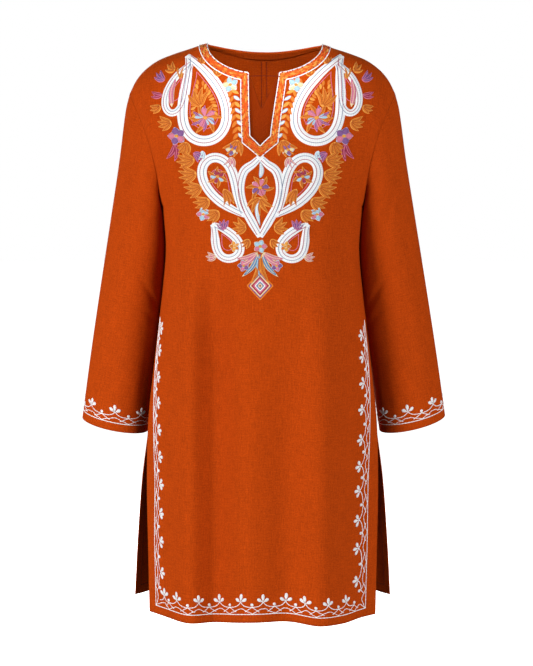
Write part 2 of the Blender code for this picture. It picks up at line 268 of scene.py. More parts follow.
@dataclass(eq=False)
class GarmentForm:
    """The worn form of the tunic, in the sizes that its solids have."""

    shoulder_tip: Vector = field(default_factory=lambda: Vector((0.216, 0.0, -0.080)))
    underarm: Vector = field(default_factory=lambda: Vector((0.166, 0.0, -0.262)))
    armhole_depth: float = 0.055
    armhole_bow: float = 0.012
    bow_fades_by: float = 0.35
    hem_z: float = -0.922
    front_drop: float = 0.011
    slit_top_z: float = -0.455
    corner_rise: float = 0.003
    hem_falls_from_z: float = -0.600
    cuff_dip: float = 0.006
    left_swing: float = 0.004
    tuck: float = 0.0065
    tuck_starts: tuple[float, float] = (0.0, 0.08)
    tuck_ends: tuple[float, float] = (0.35, 0.75)
    tuck_narrowness: float = 1.5
    yoke_share: float = 1 / 3
    spread: float = 1.35
    fullness: float = 2.3
    flatness: float = 4
    hold: float = 6
    free_edge_share: float = 0.35
    slit_tip_z: float = -0.163
    middle_at_neck: float = 0.0040
    middle_below_slit: float = -0.0035

    SHOULDERS = (
        Shoulder(0.000, 0.0045),
        Shoulder(0.060, 0.0030),
        Shoulder(0.0925, 0.0000),
        Shoulder(0.120, -0.0085),
        Shoulder(0.146, -0.0170),
        Shoulder(0.171, -0.0275),
        Shoulder(0.192, -0.0430),
        Shoulder(0.206, -0.0600),
        Shoulder(0.216, -0.0800),
    )
    STATIONS = (
        Station(0, 0.0045, 0.000, 0.0045, 0.000, 1.3),
        Station(20, -0.004, 0.030, -0.001, 0.028, 1.3),
        Station(40, -0.022, 0.054, -0.013, 0.050, 1.3),
        Station(60, -0.050, 0.072, -0.036, 0.068, 1.3),
        Station(80, -0.085, 0.086, -0.068, 0.082, 1.3),
        Station(100, -0.125, 0.098, -0.108, 0.092, 1.35),
        Station(120, -0.165, 0.107, -0.150, 0.098, 1.45),
        Station(140, -0.202, 0.113, -0.192, 0.101, 1.6),
        Station(160, -0.234, 0.116, -0.230, 0.102, 1.8),
        Station(180, -0.262, 0.117, -0.262, 0.102, 2.0),
    )
    LEVELS = (
        Level(-0.262, 0.1660, 0.117, 0.000, 0.1660, 0.102, 0.000, 2.0),
        Level(-0.330, 0.1590, 0.115, 0.000, 0.1590, 0.099, 0.000, 2.0),
        Level(-0.400, 0.1645, 0.113, 0.000, 0.1645, 0.098, 0.000, 2.0),
        Level(-0.455, 0.1710, 0.113, 0.000, 0.1710, 0.100, 0.000, 2.0),
        Level(-0.530, 0.1800, 0.113, 0.004, 0.1800, 0.104, 0.003, 1.75),
        Level(-0.620, 0.1890, 0.114, 0.013, 0.1885, 0.108, 0.009, 1.35),
        Level(-0.720, 0.1910, 0.116, 0.024, 0.2015, 0.111, 0.016, 1.1),
        Level(-0.820, 0.1890, 0.118, 0.033, 0.2095, 0.113, 0.022, 1.0),
        Level(-0.922, 0.1870, 0.121, 0.042, 0.2155, 0.115, 0.028, 1.0),
    )
    ARMS = (
        Arm(0.00, 0.2160, -0.0800, 0.1660, -0.2620, 0.055, 0.000),
        Arm(0.05, 0.2230, -0.1068, 0.1658, -0.2808, 0.057, 0.005),
        Arm(0.20, 0.2348, -0.1873, 0.1625, -0.3373, 0.060, 0.018),
        Arm(0.40, 0.2525, -0.2946, 0.1645, -0.4126, 0.060, 0.030),
        Arm(0.60, 0.2700, -0.4019, 0.1715, -0.4879, 0.057, 0.034),
        Arm(0.80, 0.2865, -0.5092, 0.1815, -0.5632, 0.052, 0.034),
        Arm(1.00, 0.3015, -0.6165, 0.1915, -0.6385, 0.047, 0.032),
    )
    FRONT_FOLDS = (
        Fold(-0.123, 0.028, 0.0140, -0.25, -0.50),
        Fold(-0.076, 0.028, -0.0260, -0.22, -0.52),
        Fold(-0.020, 0.036, 0.0080, -0.34, -0.70),
        Fold(0.042, 0.032, -0.0100, -0.36, -0.72),
        Fold(0.098, 0.034, 0.0130, -0.28, -0.64),
        Fold(0.152, 0.024, -0.0080, -0.36, -0.62),
    )
    BACK_FOLDS = (
        Fold(-0.120, 0.032, -0.0070, -0.40, -0.75),
        Fold(-0.052, 0.030, 0.0060, -0.46, -0.80),
        Fold(0.040, 0.034, -0.0060, -0.50, -0.86),
        Fold(0.108, 0.032, 0.0070, -0.42, -0.78),
    )
    HEM_WAVES = (
        Fold(0.010, 0.060, 0.0040, -0.600, -0.922),
        Fold(-0.125, 0.045, -0.0025, -0.600, -0.922),
        Fold(-0.076, 0.028, -0.0045, -0.600, -0.922),
        Fold(-0.028, 0.030, 0.0020, -0.600, -0.922),
        Fold(0.141, 0.022, -0.0045, -0.600, -0.922),
        Fold(0.105, 0.045, -0.0050, -0.600, -0.922),
        Fold(0.195, 0.040, -0.0050, -0.600, -0.922),
    )
    BACK_HEM_WAVES = (
        Fold(-0.168, 0.028, 0.0085, -0.800, -0.922),
        Fold(0.168, 0.028, 0.0085, -0.800, -0.922),
    )
    FRONT_CREASES = (
        Crease(-0.168, -0.225, -0.095, -0.262, 0.010, -0.0018),
        Crease(-0.172, -0.190, -0.120, -0.232, 0.012, -0.0016),
        Crease(0.166, -0.232, 0.098, -0.275, 0.011, -0.0018),
        Crease(0.172, -0.185, 0.126, -0.222, 0.010, -0.0014),
        Crease(-0.070, -0.420, -0.052, -0.640, 0.013, -0.0014),
        Crease(0.060, -0.360, 0.068, -0.560, 0.014, -0.0015),
        Crease(0.128, -0.300, 0.118, -0.520, 0.012, -0.0017),
        Crease(-0.132, -0.520, -0.128, -0.760, 0.010, -0.0014),
        Crease(-0.008, -0.640, -0.004, -0.880, 0.012, -0.0013),
    )
    BACK_CREASES = (
        Crease(-0.166, -0.215, -0.100, -0.256, 0.012, -0.0020),
        Crease(0.170, -0.200, 0.104, -0.262, 0.011, -0.0019),
        Crease(-0.084, -0.300, -0.090, -0.560, 0.014, -0.0020),
        Crease(0.074, -0.340, 0.082, -0.640, 0.013, -0.0017),
        Crease(0.006, -0.480, 0.014, -0.760, 0.012, -0.0015),
        Crease(0.140, -0.420, 0.148, -0.600, 0.012, -0.0016),
    )
    ARM_CREASES = (
        Crease(0.28, 0.42, 0.46, 0.50, 0.020, -0.0026),
        Crease(0.33, 0.52, 0.50, 0.57, 0.018, -0.0022),
        Crease(0.60, 0.36, 0.47, 0.44, 0.022, -0.0022),
        Crease(0.12, 0.14, 0.28, 0.30, 0.024, -0.0018),
        Crease(0.22, 0.62, 0.20, 0.86, 0.022, -0.0018),
        Crease(0.72, 0.50, 0.76, 0.84, 0.024, -0.0020),
        Crease(0.38, 0.70, 0.36, 0.93, 0.020, -0.0016),
    )

    @cached_property
    def curves(self) -> dict[str, Curve]:
        """Every column of the tables as a smooth curve."""
        made = {"shoulder": Curve(self.SHOULDERS, "z")}
        for prefix, rows in (("yoke_", self.STATIONS), ("body_", self.LEVELS), ("arm_", self.ARMS)):
            for column in rows[0]._fields[1:]:
                made[prefix + column] = Curve(rows, column)
        return made

    def middle_line(self, z: float) -> float:
        """Where the middle of the front stands at a height."""
        lean = self.middle_below_slit - self.middle_at_neck
        return self.middle_at_neck + lean * ease(0.0, self.slit_tip_z, z)

    def shoulder_z(self, x: float) -> float:
        """The height of the shoulder line at a distance from the middle."""
        return self.curves["shoulder"](abs(x))

    def armhole(self, turn: float) -> Vector:
        """A point of the armhole seam: 0 at the shoulder tip, pi at the underarm, the front first."""
        middle, half = (self.shoulder_tip + self.underarm) / 2, (self.shoulder_tip - self.underarm) / 2
        point = middle + half * math.cos(turn)
        point.x -= self.armhole_bow * math.sin(turn) ** 2
        point.y = -self.armhole_depth * math.sin(turn)
        return point

    @lru_cache(maxsize=4000)
    def row(self, front: bool, v: float) -> tuple[float, float, float, float, float, float]:
        """The edge, middle height, middle depth and roundness of one row of a panel.

        Args:
            front: whether the row is the front's.
            v: 0 at the shoulders, 1 at the hem.

        Returns:
            The edge's x, y and z, the middle's height and depth, and the roundness.
        """
        name = "front_" if front else "back_"
        if v < self.yoke_share:
            turn = math.pi * v / self.yoke_share
            edge = self.armhole(turn)
            angle = math.degrees(turn)
            middle = self.curves["yoke_" + name + "z"](angle)
            depth = self.curves["yoke_" + name + "depth"](angle)
            return edge.x, abs(edge.y), edge.z, middle, depth, self.curves["yoke_round"](angle)
        below = self.hem_z - self.underarm.z
        z = self.underarm.z + below * (v - self.yoke_share) / (1 - self.yoke_share)
        fall = ease(self.hem_falls_from_z, self.hem_z, z)
        middle = z - self.front_drop * fall if front else z
        x, edge = self.curves["body_" + name + "x"](z), self.curves["body_" + name + "edge"](z)
        depth = self.curves["body_" + name + "depth"](z)
        return x, edge, middle + self.corner_rise * fall, middle, depth, self.curves["body_round"](z)

    def relief(self, folds: Iterable[Fold], x: float, z: float) -> float:
        """How far the upright folds lift the cloth at one place."""
        total = 0
        for fold in folds:
            across = math.exp(-(((x - fold.x) / fold.half_width) ** 2))
            total += fold.height * across * ease(fold.starts, fold.full, z)
        return total

    def panel_point(self, front: bool, u: float, v: float) -> Vector:
        """A point of the front or back.

        Args:
            front: whether the point is the front's.
            u: -1 to 1 across, the wearer's left last.
            v: 0 at the shoulders, 1 at the hem.

        Returns:
            The point on the outer face.
        """
        edge_x, edge_y, edge_z, middle, depth, roundness = self.row(front, v)
        across = math.sin(self.spread * u) / math.sin(self.spread)
        x = edge_x * across
        crown = max(1 - abs(across) ** self.fullness, 0.0) ** (1 / roundness)
        if v < self.yoke_share:
            tip, top = self.SHOULDERS[-1].z, self.SHOULDERS[0].z
            rise = (self.shoulder_z(across * self.shoulder_tip.x) - tip) / (top - tip)
        else:
            rise = 1 - abs(across) ** self.flatness
        z = edge_z + (middle - edge_z) * rise
        y = edge_y + (depth - edge_y) * crown
        at_edge = self.free_edge_share if z < self.slit_top_z else 0.0
        share = 1 - (1 - at_edge) * abs(across) ** self.hold
        lift = self.relief(self.FRONT_FOLDS if front else self.BACK_FOLDS, x, z)
        lift += crease_height(self.FRONT_CREASES if front else self.BACK_CREASES, x, z)
        y += lift * share
        z += self.relief(self.HEM_WAVES if front else self.BACK_HEM_WAVES, x, z)
        return Vector((x, -y if front else y, z))

    def sleeve_point(self, side: int, u: float, v: float) -> Vector:
        """A point of a sleeve.

        Args:
            side: 1 for the wearer's left, -1 for the right.
            u: 0 to 1 round, from the shoulder tip over the front.
            v: 0 at the armhole, 1 at the cuff.

        Returns:
            The point on the outer face.
        """
        turn = 2 * math.pi * u
        arm = {name: self.curves["arm_" + name](v) for name in Arm._fields[1:]}
        cos, sin = math.cos(turn), math.sin(turn)
        x = (arm["outer_x"] + arm["inner_x"]) / 2 + (arm["outer_x"] - arm["inner_x"]) / 2 * cos
        z = (arm["outer_z"] + arm["inner_z"]) / 2 + (arm["outer_z"] - arm["inner_z"]) / 2 * cos
        lift = 1 + crease_height(self.ARM_CREASES, u, v) / arm["depth"]
        y = arm["back"] - arm["depth"] * sin * lift
        bow = self.armhole_bow * max(1 - v / self.bow_fades_by, 0.0) ** 2
        x -= bow * sin**2
        fade = 1 - ease(*self.tuck_ends, v)
        x -= self.tuck * ease(*self.tuck_starts, v) * fade * max(-cos, 0.0) ** self.tuck_narrowness
        z -= self.cuff_dip * sin * v**2
        if side > 0:
            x += self.left_swing * v
            z += self.left_swing * v * (1 + cos) / 2
        return Vector((x * side, y, z))


@dataclass
class ClothGrid:
    """A wall's outer face as a grid of points, with the ways to find a place on it."""

    points: np.ndarray
    outward: np.ndarray
    straight_grain: bool = False

    @classmethod
    def facing_out(cls, points: np.ndarray, inside: np.ndarray,
                   straight_grain: bool = False) -> "ClothGrid":
        """Makes a grid with its outward directions.

        Args:
            points: the grid's points, row by row.
            inside: one place inside the garment, or one for each row.
            straight_grain: whether the weft runs level over the whole wall.

        Returns:
            The grid.
        """
        down, across = np.gradient(points, axis=0), np.gradient(points, axis=1)
        normal = np.cross(across, down)
        normal /= np.maximum(np.linalg.norm(normal, axis=2, keepdims=True), SHORTEST)
        sign = np.sign((normal * (points - inside)).sum(axis=2).mean())
        return cls(points, normal * sign, straight_grain)

    @classmethod
    def sampled(cls, rows: int, columns: int, point: Callable[[float, float], Vector],
                centre: Callable[[float], Vector], straight_grain: bool = False) -> "ClothGrid":
        """Samples a wall.

        Args:
            rows: the number of cells down.
            columns: the number of cells across.
            point: gives the point at 0 to 1 across and 0 to 1 down.
            centre: gives a point inside the garment at 0 to 1 down.
            straight_grain: whether the weft runs level over the whole wall.

        Returns:
            The grid, with its outward directions.
        """
        points = [[point(i / columns, j / rows) for i in range(columns + 1)] for j in range(rows + 1)]
        middles = [[centre(j / rows)] for j in range(rows + 1)]
        return cls.facing_out(np.array(points), np.array(middles), straight_grain)

    @cached_property
    def cut(self) -> np.ndarray:
        """Where every point lay on the flat cloth: across from the middle column, and up from the hem."""
        if not self.straight_grain:
            middle = self.points.shape[1] // 2
            return np.stack([self.across - self.across[:, middle:middle + 1], self.up], axis=2)
        over = along_rows(self.points[..., :2])
        nearest = np.abs(self.points[..., 0]).argmin(axis=1)
        over = over - over[np.arange(over.shape[0]), nearest][:, None]
        return np.stack([over, up_columns(self.points[..., 1:])], axis=2)

    @cached_property
    def across(self) -> np.ndarray:
        """The distance of every point from its row's first point, along the cloth."""
        return along_rows(self.points)

    @cached_property
    def up(self) -> np.ndarray:
        """The distance of every point from its column's last point, along the cloth."""
        return up_columns(self.points)

    def mesh(self) -> bmesh.types.BMesh:
        """Makes the outer face as a mesh.

        Returns:
            The mesh, with the flat cut as its UV map.
        """
        rows, columns = self.points.shape[0] - 1, self.points.shape[1] - 1
        mesh = bmesh.new()
        layer = mesh.loops.layers.uv.new("cut")
        bmesh.ops.create_grid(mesh, x_segments=columns, y_segments=rows, size=0.5)
        for vert in mesh.verts:
            i, j = round((vert.co.x + 0.5) * columns), round((vert.co.y + 0.5) * rows)
            vert.co = self.points[j, i]
            for loop in vert.link_loops:
                loop[layer].uv = self.cut[j, i]
        mesh.normal_update()
        return mesh

    def at(self, row: float, column: float, lift: float) -> Vector:
        """The place at a broken row and column, moved out by lift."""
        rows, columns = self.points.shape[0] - 1, self.points.shape[1] - 1
        j, i = min(max(int(row), 0), rows - 1), min(max(int(column), 0), columns - 1)
        t, s = row - j, column - i
        weights = ((1 - t) * (1 - s), (1 - t) * s, t * (1 - s), t * s)
        corners = ((j, i), (j, i + 1), (j + 1, i), (j + 1, i + 1))
        place = sum(w * self.points[c] for w, c in zip(weights, corners))
        normal = sum(w * self.outward[c] for w, c in zip(weights, corners))
        return Vector(place + normal * lift)

    def from_corner(self, along: float, above: float, lift: float, last: bool = False) -> Vector:
        """The place at distances from a side edge and from the lower edge.

        Args:
            along: the distance from the side edge, along the cloth.
            above: the distance from the lower edge, along the cloth.
            lift: how far the place is moved out.
            last: whether it counts from the last column's edge.

        Returns:
            The place.
        """
        rows, columns = self.points.shape[0] - 1, self.points.shape[1] - 1
        row, column = float(rows), 0.0
        index = np.arange(columns + 1)
        for _ in range(3):
            j = min(int(row), rows - 1)
            t = row - j
            length = self.across[j] * (1 - t) + self.across[j + 1] * t
            reach = length[-1] - along if last else along
            column = float(np.interp(reach, length, index))
            i = min(int(column), columns - 1)
            s = column - i
            height = self.up[:, i] * (1 - s) + self.up[:, i + 1] * s
            row = float(np.interp(-above, -height, np.arange(rows + 1)))
        return self.at(row, column, lift)


class Nodes:
    """A small helper that adds and links a material's nodes."""

    def __init__(self, name: str) -> None:
        """Makes the material with its Principled shader."""
        self.material = bpy.data.materials.new(name)
        self.material.use_nodes = True
        self.tree = self.material.node_tree

    def add(self, kind: str, *numbered: object, settings: dict | None = None,
            **named: object) -> bpy.types.Node:
        """Adds a node.

        Args:
            kind: the node's type name.
            *numbered: a value, or an output to link, for each of the first inputs.
            settings: properties set on the node.
            **named: the same for inputs by their names, spaces as underscores.

        Returns:
            The node.
        """
        node = self.tree.nodes.new(kind)
        for key, value in (settings or {}).items():
            setattr(node, key, value)
        for number, value in enumerate(numbered):
            self.feed(node.inputs[number], value)
        for key, value in named.items():
            self.feed(node.inputs[key.replace("_", " ")], value)
        return node

    def feed(self, socket: bpy.types.NodeSocket, value: object) -> None:
        """Links an output to a socket, or sets the socket's value."""
        if isinstance(value, bpy.types.NodeSocket):
            self.tree.links.new(value, socket)
        else:
            socket.default_value = value

    def finish(self, **named: object) -> bpy.types.Material:
        """Feeds the shader's inputs, named as in add, and gives the material."""
        shader = self.tree.nodes["Principled BSDF"]
        for key, value in named.items():
            self.feed(shader.inputs[key.replace("_", " ")], value)
        return self.material

    def math(self, operation: str, a: object, b: object = 0.0, c: object = 0.0) -> bpy.types.NodeSocket:
        """The output of a Math node."""
        return self.add("ShaderNodeMath", a, b, c, settings={"operation": operation}).outputs[0]

    def mean(self, a: object, b: object) -> bpy.types.NodeSocket:
        """The mean of two values."""
        return self.math("MULTIPLY", self.math("ADD", a, b), 0.5)

    def swing(self, value: object, share: float) -> bpy.types.NodeSocket:
        """A noise value about 0.5, stretched by a share and centred on 0."""
        return self.math("MULTIPLY", self.math("SUBTRACT", value, 0.5), share)

    def mix(self, factor: object, a: object, b: object) -> bpy.types.NodeSocket:
        """The output of a colour Mix node."""
        node = self.add("ShaderNodeMix", factor, settings={"data_type": "RGBA"})
        self.feed(node.inputs[6], a)
        self.feed(node.inputs[7], b)
        return node.outputs[2]

    def noise(self, vector: object, stretch: Stretch, detail: float = 2.0) -> bpy.types.NodeSocket:
        """The value of a Noise texture on a stretched vector."""
        stretched = self.add("ShaderNodeMapping", Vector=vector, Scale=stretch).outputs[0]
        return self.add("ShaderNodeTexNoise", Vector=stretched, Scale=1.0, Detail=detail).outputs["Fac"]

    def bump(self, height: object, strength: float, distance: float) -> bpy.types.NodeSocket:
        """The normal of a Bump node."""
        return self.add("ShaderNodeBump", Strength=strength, Distance=distance, Height=height).outputs[0]


def shaded(colour: Colour, share: float) -> tuple[float, float, float, float]:
    """A colour made lighter or darker by a share, with full alpha."""
    return (colour[0] * share, colour[1] * share, colour[2] * share, 1.0)


@dataclass(frozen=True)
class Linen:
    """The plain woven cloth, slightly slubby and matt, on a UV map in metres."""

    name: str
    colour: Colour
    pitch: float = 0.00062
    slubs_down: Stretch = (560.0, 48.0, 1.0)
    slubs_over: Stretch = (52.0, 600.0, 1.0)
    patches: Stretch = (34.0, 20.0, 1.0)
    specks: Stretch = (430.0, 430.0, 1.0)
    slub_share: float = 1.80
    patch_share: float = 0.30
    speck_share: float = 1.30
    deep: float = 0.70
    pale: float = 1.30
    gap_painted_shade: float = 0.62
    gap_painted_shade_share: float = 0.35
    weave_height: float = -0.5
    slub_height: float = 1.2
    relief: float = 0.00035
    relief_share: float = 0.55
    roughness: float = 0.88
    specular: float = 0.03
    sheen: float = 0.12
    sheen_roughness: float = 0.4
    sheen_tint: tuple[float, float, float, float] = (1.0, 0.26, 0.03, 1.0)

    def material(self) -> bpy.types.Material:
        """Makes the woven cloth's material.

        Returns:
            The material.
        """
        nodes = Nodes(self.name)
        uv = nodes.add("ShaderNodeUVMap", settings={"uv_map": "cut"}).outputs[0]
        split = nodes.add("ShaderNodeSeparateXYZ", uv)
        weave = nodes.mean(self.threads(nodes, split.outputs[0]), self.threads(nodes, split.outputs[1]))
        slubs = nodes.mean(nodes.noise(uv, self.slubs_down), nodes.noise(uv, self.slubs_over))
        patches, specks = nodes.noise(uv, self.patches, 4.0), nodes.noise(uv, self.specks, 1.0)
        tone: object = 0.5
        for value, share in ((slubs, self.slub_share), (patches, self.patch_share), (specks, self.speck_share)):
            tone = nodes.math("ADD", tone, nodes.swing(value, share))
        cloth = nodes.mix(tone, shaded(self.colour, self.deep), shaded(self.colour, self.pale))
        # Painted shade: the colour darkens in the weave's sunken gaps between threads.
        gaps = nodes.math("MULTIPLY", weave, self.gap_painted_shade_share)
        height = nodes.math("ADD", nodes.math("MULTIPLY", weave, self.weave_height),
                            nodes.math("MULTIPLY", slubs, self.slub_height))
        return nodes.finish(
            Base_Color=nodes.mix(gaps, cloth, shaded(self.colour, self.gap_painted_shade)),
            Normal=nodes.bump(height, self.relief_share, self.relief),
            Roughness=self.roughness,
            Specular_IOR_Level=self.specular,
            Sheen_Weight=self.sheen,
            Sheen_Roughness=self.sheen_roughness,
            Sheen_Tint=self.sheen_tint,
        )

    def threads(self, nodes: Nodes, coordinate: bpy.types.NodeSocket) -> bpy.types.NodeSocket:
        """The gaps between the threads that run one way: a wave that sinks the cloth's bump and gives the gaps
        their painted shade.
        """
        turn = nodes.math("MULTIPLY", coordinate, 2 * math.pi / self.pitch)
        return nodes.math("MULTIPLY_ADD", nodes.math("SINE", turn), 0.5, 0.5)


@dataclass(frozen=True)
class ThreadFinish:
    """Dense hand embroidery, its colour and its stitches' place kept on the points."""

    name: str
    stitch: float = 0.0030
    row: float = 0.0016
    stagger: float = 0.9
    fibres: Stretch = (2600.0, 900.0, 1.0)
    loop_height: float = 0.55
    row_height: float = 0.6
    fibre_height: float = 0.35
    groove_painted_shade: float = 0.62
    painted_shade_by_height: float = 0.42
    crown_painted_highlight: float = 1.06
    relief: float = 0.0005
    relief_share: float = 0.8
    roughness: float = 0.7
    specular: float = 0.15
    sheen: float = 0.04

    def material(self) -> bpy.types.Material:
        """Makes the embroidery's material.

        Returns:
            The material.
        """
        nodes = Nodes(self.name)
        colour = nodes.add("ShaderNodeAttribute", settings={"attribute_name": "thread"}).outputs["Color"]
        place = nodes.add("ShaderNodeAttribute", settings={"attribute_name": "stitch"}).outputs["Vector"]
        split = nodes.add("ShaderNodeSeparateXYZ", place)
        across = nodes.math("MULTIPLY", split.outputs[1], math.pi / self.row)
        rows = nodes.math("ABSOLUTE", nodes.math("COSINE", across))
        along = nodes.math("MULTIPLY", split.outputs[0], math.pi / self.stitch)
        along = nodes.math("ADD", along, nodes.math("MULTIPLY", rows, self.stagger))
        loops = nodes.math("ABSOLUTE", nodes.math("SINE", along))
        height = nodes.math("ADD", nodes.math("MULTIPLY", loops, self.loop_height),
                            nodes.math("MULTIPLY", rows, self.row_height))
        height = nodes.math("ADD", height,
                            nodes.math("MULTIPLY", nodes.noise(place, self.fibres), self.fibre_height))
        # Painted shade: the thread's colour is darkened in the grooves between loops and rows, and raised a little
        # on their crowns as a painted highlight.
        light = nodes.math("MULTIPLY_ADD", height, self.painted_shade_by_height, self.groove_painted_shade)
        light = nodes.math("MINIMUM", light, self.crown_painted_highlight)
        thread_with_painted_shade = nodes.add("ShaderNodeVectorMath", colour, settings={"operation": "SCALE"}, Scale=light)
        return nodes.finish(
            Base_Color=thread_with_painted_shade.outputs[0],
            Normal=nodes.bump(height, self.relief_share, self.relief),
            Roughness=self.roughness,
            Specular_IOR_Level=self.specular,
            Sheen_Weight=self.sheen,
        )


def smooth_path(points: Sequence[Point], step: float) -> list[Point]:
    """A smooth line through points, in even steps.

    Args:
        points: the places that the line goes through.
        step: about how far apart the new points are.

    Returns:
        The new points, with the first and last kept.
    """
    ends, cells = [points[0], *points, points[-1]], 12
    dense: list[Point] = []
    for p0, p1, p2, p3 in zip(ends, ends[1:], ends[2:], ends[3:]):
        for n in range(cells):
            t = n / cells
            dense.append(tuple(
                0.5 * (2 * b + (c - a) * t + (2 * a - 5 * b + 4 * c - d) * t * t + (3 * b - a - 3 * c + d) * t**3)
                for a, b, c, d in zip(p0, p1, p2, p3)
            ))
    dense.append(points[-1])
    xy = np.array(dense)
    length = along_rows(xy[None])[0]
    count = max(int(round(length[-1] / step)), 2)
    at = np.linspace(0, length[-1], count + 1)
    return list(zip(np.interp(at, length, xy[:, 0]).tolist(), np.interp(at, length, xy[:, 1]).tolist()))


def straight(start: Point, end: Point, count: int) -> list[Point]:
    """Places after start up to and with end, evenly spaced."""
    return [tuple(a + (b - a) * (n + 1) / count for a, b in zip(start, end)) for n in range(count)]


def tangents(path: Sequence[Point]) -> np.ndarray:
    """The direction of a line at each of its points."""
    tangent = np.gradient(np.array(path), axis=0)
    return tangent / np.maximum(np.linalg.norm(tangent, axis=1, keepdims=True), SHORTEST)


def linked(name: str, mesh: bmesh.types.BMesh, material: bpy.types.Material | None = None) -> bpy.types.Object:
    """Makes an object of a mesh and links it to the scene.

    Args:
        name: the object's name.
        mesh: its mesh, which is freed.
        material: its one material.

    Returns:
        The object.
    """
    data = bpy.data.meshes.new(name)
    mesh.to_mesh(data)
    mesh.free()
    if material:
        data.materials.append(material)
    piece = bpy.data.objects.new(name, data)
    bpy.context.scene.collection.objects.link(piece)
    return piece


def dress(piece: bpy.types.Object) -> None:
    """Smooths a finished piece, lets it ride on the body and reports it."""
    piece.data.shade_smooth()
    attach(piece, "root")
    LOG.info("%s: %d faces", piece.name, len(piece.data.polygons))


@dataclass
class Needlework:
    """Embroidery gathered into one mesh: every stroke is a domed strip along a line on the cloth."""

    name: str
    ground: Ground
    sink: float = 0.00025
    rim_width: float = 0.0015
    line_step: float = 0.0013
    line_wobble: float = 1.35
    petal_widest: float = 0.62
    vein_width: float = 0.0011
    narrowest: float = 0.0003

    def __post_init__(self) -> None:
        """Starts an empty mesh with the layers that the thread's finish reads."""
        self.mesh = bmesh.new()
        self.thread = self.mesh.verts.layers.float_color.new("thread")
        self.stitch = self.mesh.verts.layers.float_vector.new("stitch")

    def stroke(self, path: Sequence[Point], width: float | Callable[[float], float], thread: Thread,
               height: float = 0.0010, lift: float = 0.0, across: int = 2, shade: float = 0.0) -> None:
        """Sews one strip.

        Args:
            path: the strip's middle line on the ground, already in even steps.
            width: its whole width, or a function of 0 to 1 along it.
            thread: its colour.
            height: how far its middle stands off the edges.
            lift: how far the edges stand off the cloth.
            across: the number of cells across.
            shade: how much darker its edges are than its middle.
        """
        line, tangent = np.array(path), tangents(path)
        steps = along_rows(line[None])[0]
        count = len(path) - 1
        made = bmesh.ops.create_grid(self.mesh, x_segments=count, y_segments=across, size=0.5)
        for vert in made["verts"]:
            n = min(max(round((vert.co.x + 0.5) * count), 0), count)
            side = 2 * vert.co.y
            half = (width(n / count) if callable(width) else width) / 2
            a = line[n, 0] - tangent[n, 1] * side * half
            b = line[n, 1] + tangent[n, 0] * side * half
            dome = height * math.sqrt(max(1 - side * side, 0.0))
            vert.co = self.ground(a, b, lift + dome - self.sink)
            vert[self.stitch] = (steps[n], side * half, 0.0)
            vert[self.thread] = shaded(thread.value, 1 - shade * side * side)

    def line(self, points: Sequence[Point], thread: Thread, width: float = 0.0015,
             height: float = 0.0008) -> None:
        """Sews a chain stitched line through points, its stitches a little thicker in the middle."""
        path = smooth_path(points, self.line_step)
        self.stroke(path, lambda t: width * (0.9 + 0.2 * math.sin(t * len(path) * self.line_wobble)), thread,
                    height)

    def leaf(self, start: Point, end: Point, width: float, thread: Thread, bend: float = 0.0,
             rim: Thread | None = None, vein: Thread | None = None, height: float = 0.0011,
             shade: float = 0.25) -> None:
        """Sews a filled leaf or petal.

        Args:
            start: its root.
            end: its tip.
            width: its widest part.
            thread: its colour.
            bend: how far its middle stands to the left, as a share of its length.
            rim: the colour of the stitched line round it.
            vein: the colour of a line down its middle.
            height: how far it stands off the cloth.
            shade: how much darker its edges are.
        """
        ax, ay = end[0] - start[0], end[1] - start[1]
        middle = ((start[0] + end[0]) / 2 - ay * bend, (start[1] + end[1]) / 2 + ax * bend)
        path = smooth_path([start, middle, end], max(math.hypot(ax, ay) / 10, self.line_step))

        def wide(t: float) -> float:
            return width * max(math.sin(math.pi * t**0.8), 0.0) ** 0.75 + self.narrowest

        def inner(t: float) -> float:
            return max(wide(0.1 + 0.8 * t) * (1 - 2 * (self.rim_width / width)), 0.0004)

        self.stroke(path, wide, rim or thread, height, across=4, shade=0.0 if rim else shade)
        if rim:
            self.stroke(path[1:-1], inner, thread, height * 0.7, height * 0.75, 4, shade)
        if vein:
            self.stroke(path[1:-2], self.vein_width, vein, 0.0006, height * 1.25)

    def petal(self, start: Point, end: Point, width: float, thread: Thread, height: float = 0.0012) -> None:
        """Sews a petal that is narrow at its root and round at its tip."""
        path = [start] + straight(start, end, 9)

        def wide(t: float) -> float:
            if t < self.petal_widest:
                return width * math.sin(math.pi / 2 * t / self.petal_widest) + self.narrowest
            past = (t - self.petal_widest) / (1 - self.petal_widest)
            return width * math.sqrt(max(1 - past**2, 0)) + self.narrowest

        self.stroke(path, wide, thread, height, across=4, shade=0.12)

    def knot(self, centre: Point, radius: float, thread: Thread, height: float = 0.0012) -> None:
        """Sews a round knot."""
        path = [(centre[0] + radius * t, centre[1]) for t in (-1.0, -0.6, 0.0, 0.6, 1.0)]
        self.stroke(path, lambda t: 2 * radius * math.sqrt(max(1 - (2 * t - 1) ** 2, 0.0)) + 0.0002, thread,
                    height, across=4)

    def finish(self, material: bpy.types.Material, slot: str) -> None:
        """Makes the piece and dresses it."""
        bmesh.ops.recalc_face_normals(self.mesh, faces=self.mesh.faces[:])
        dress(linked(self.name, self.mesh, material))


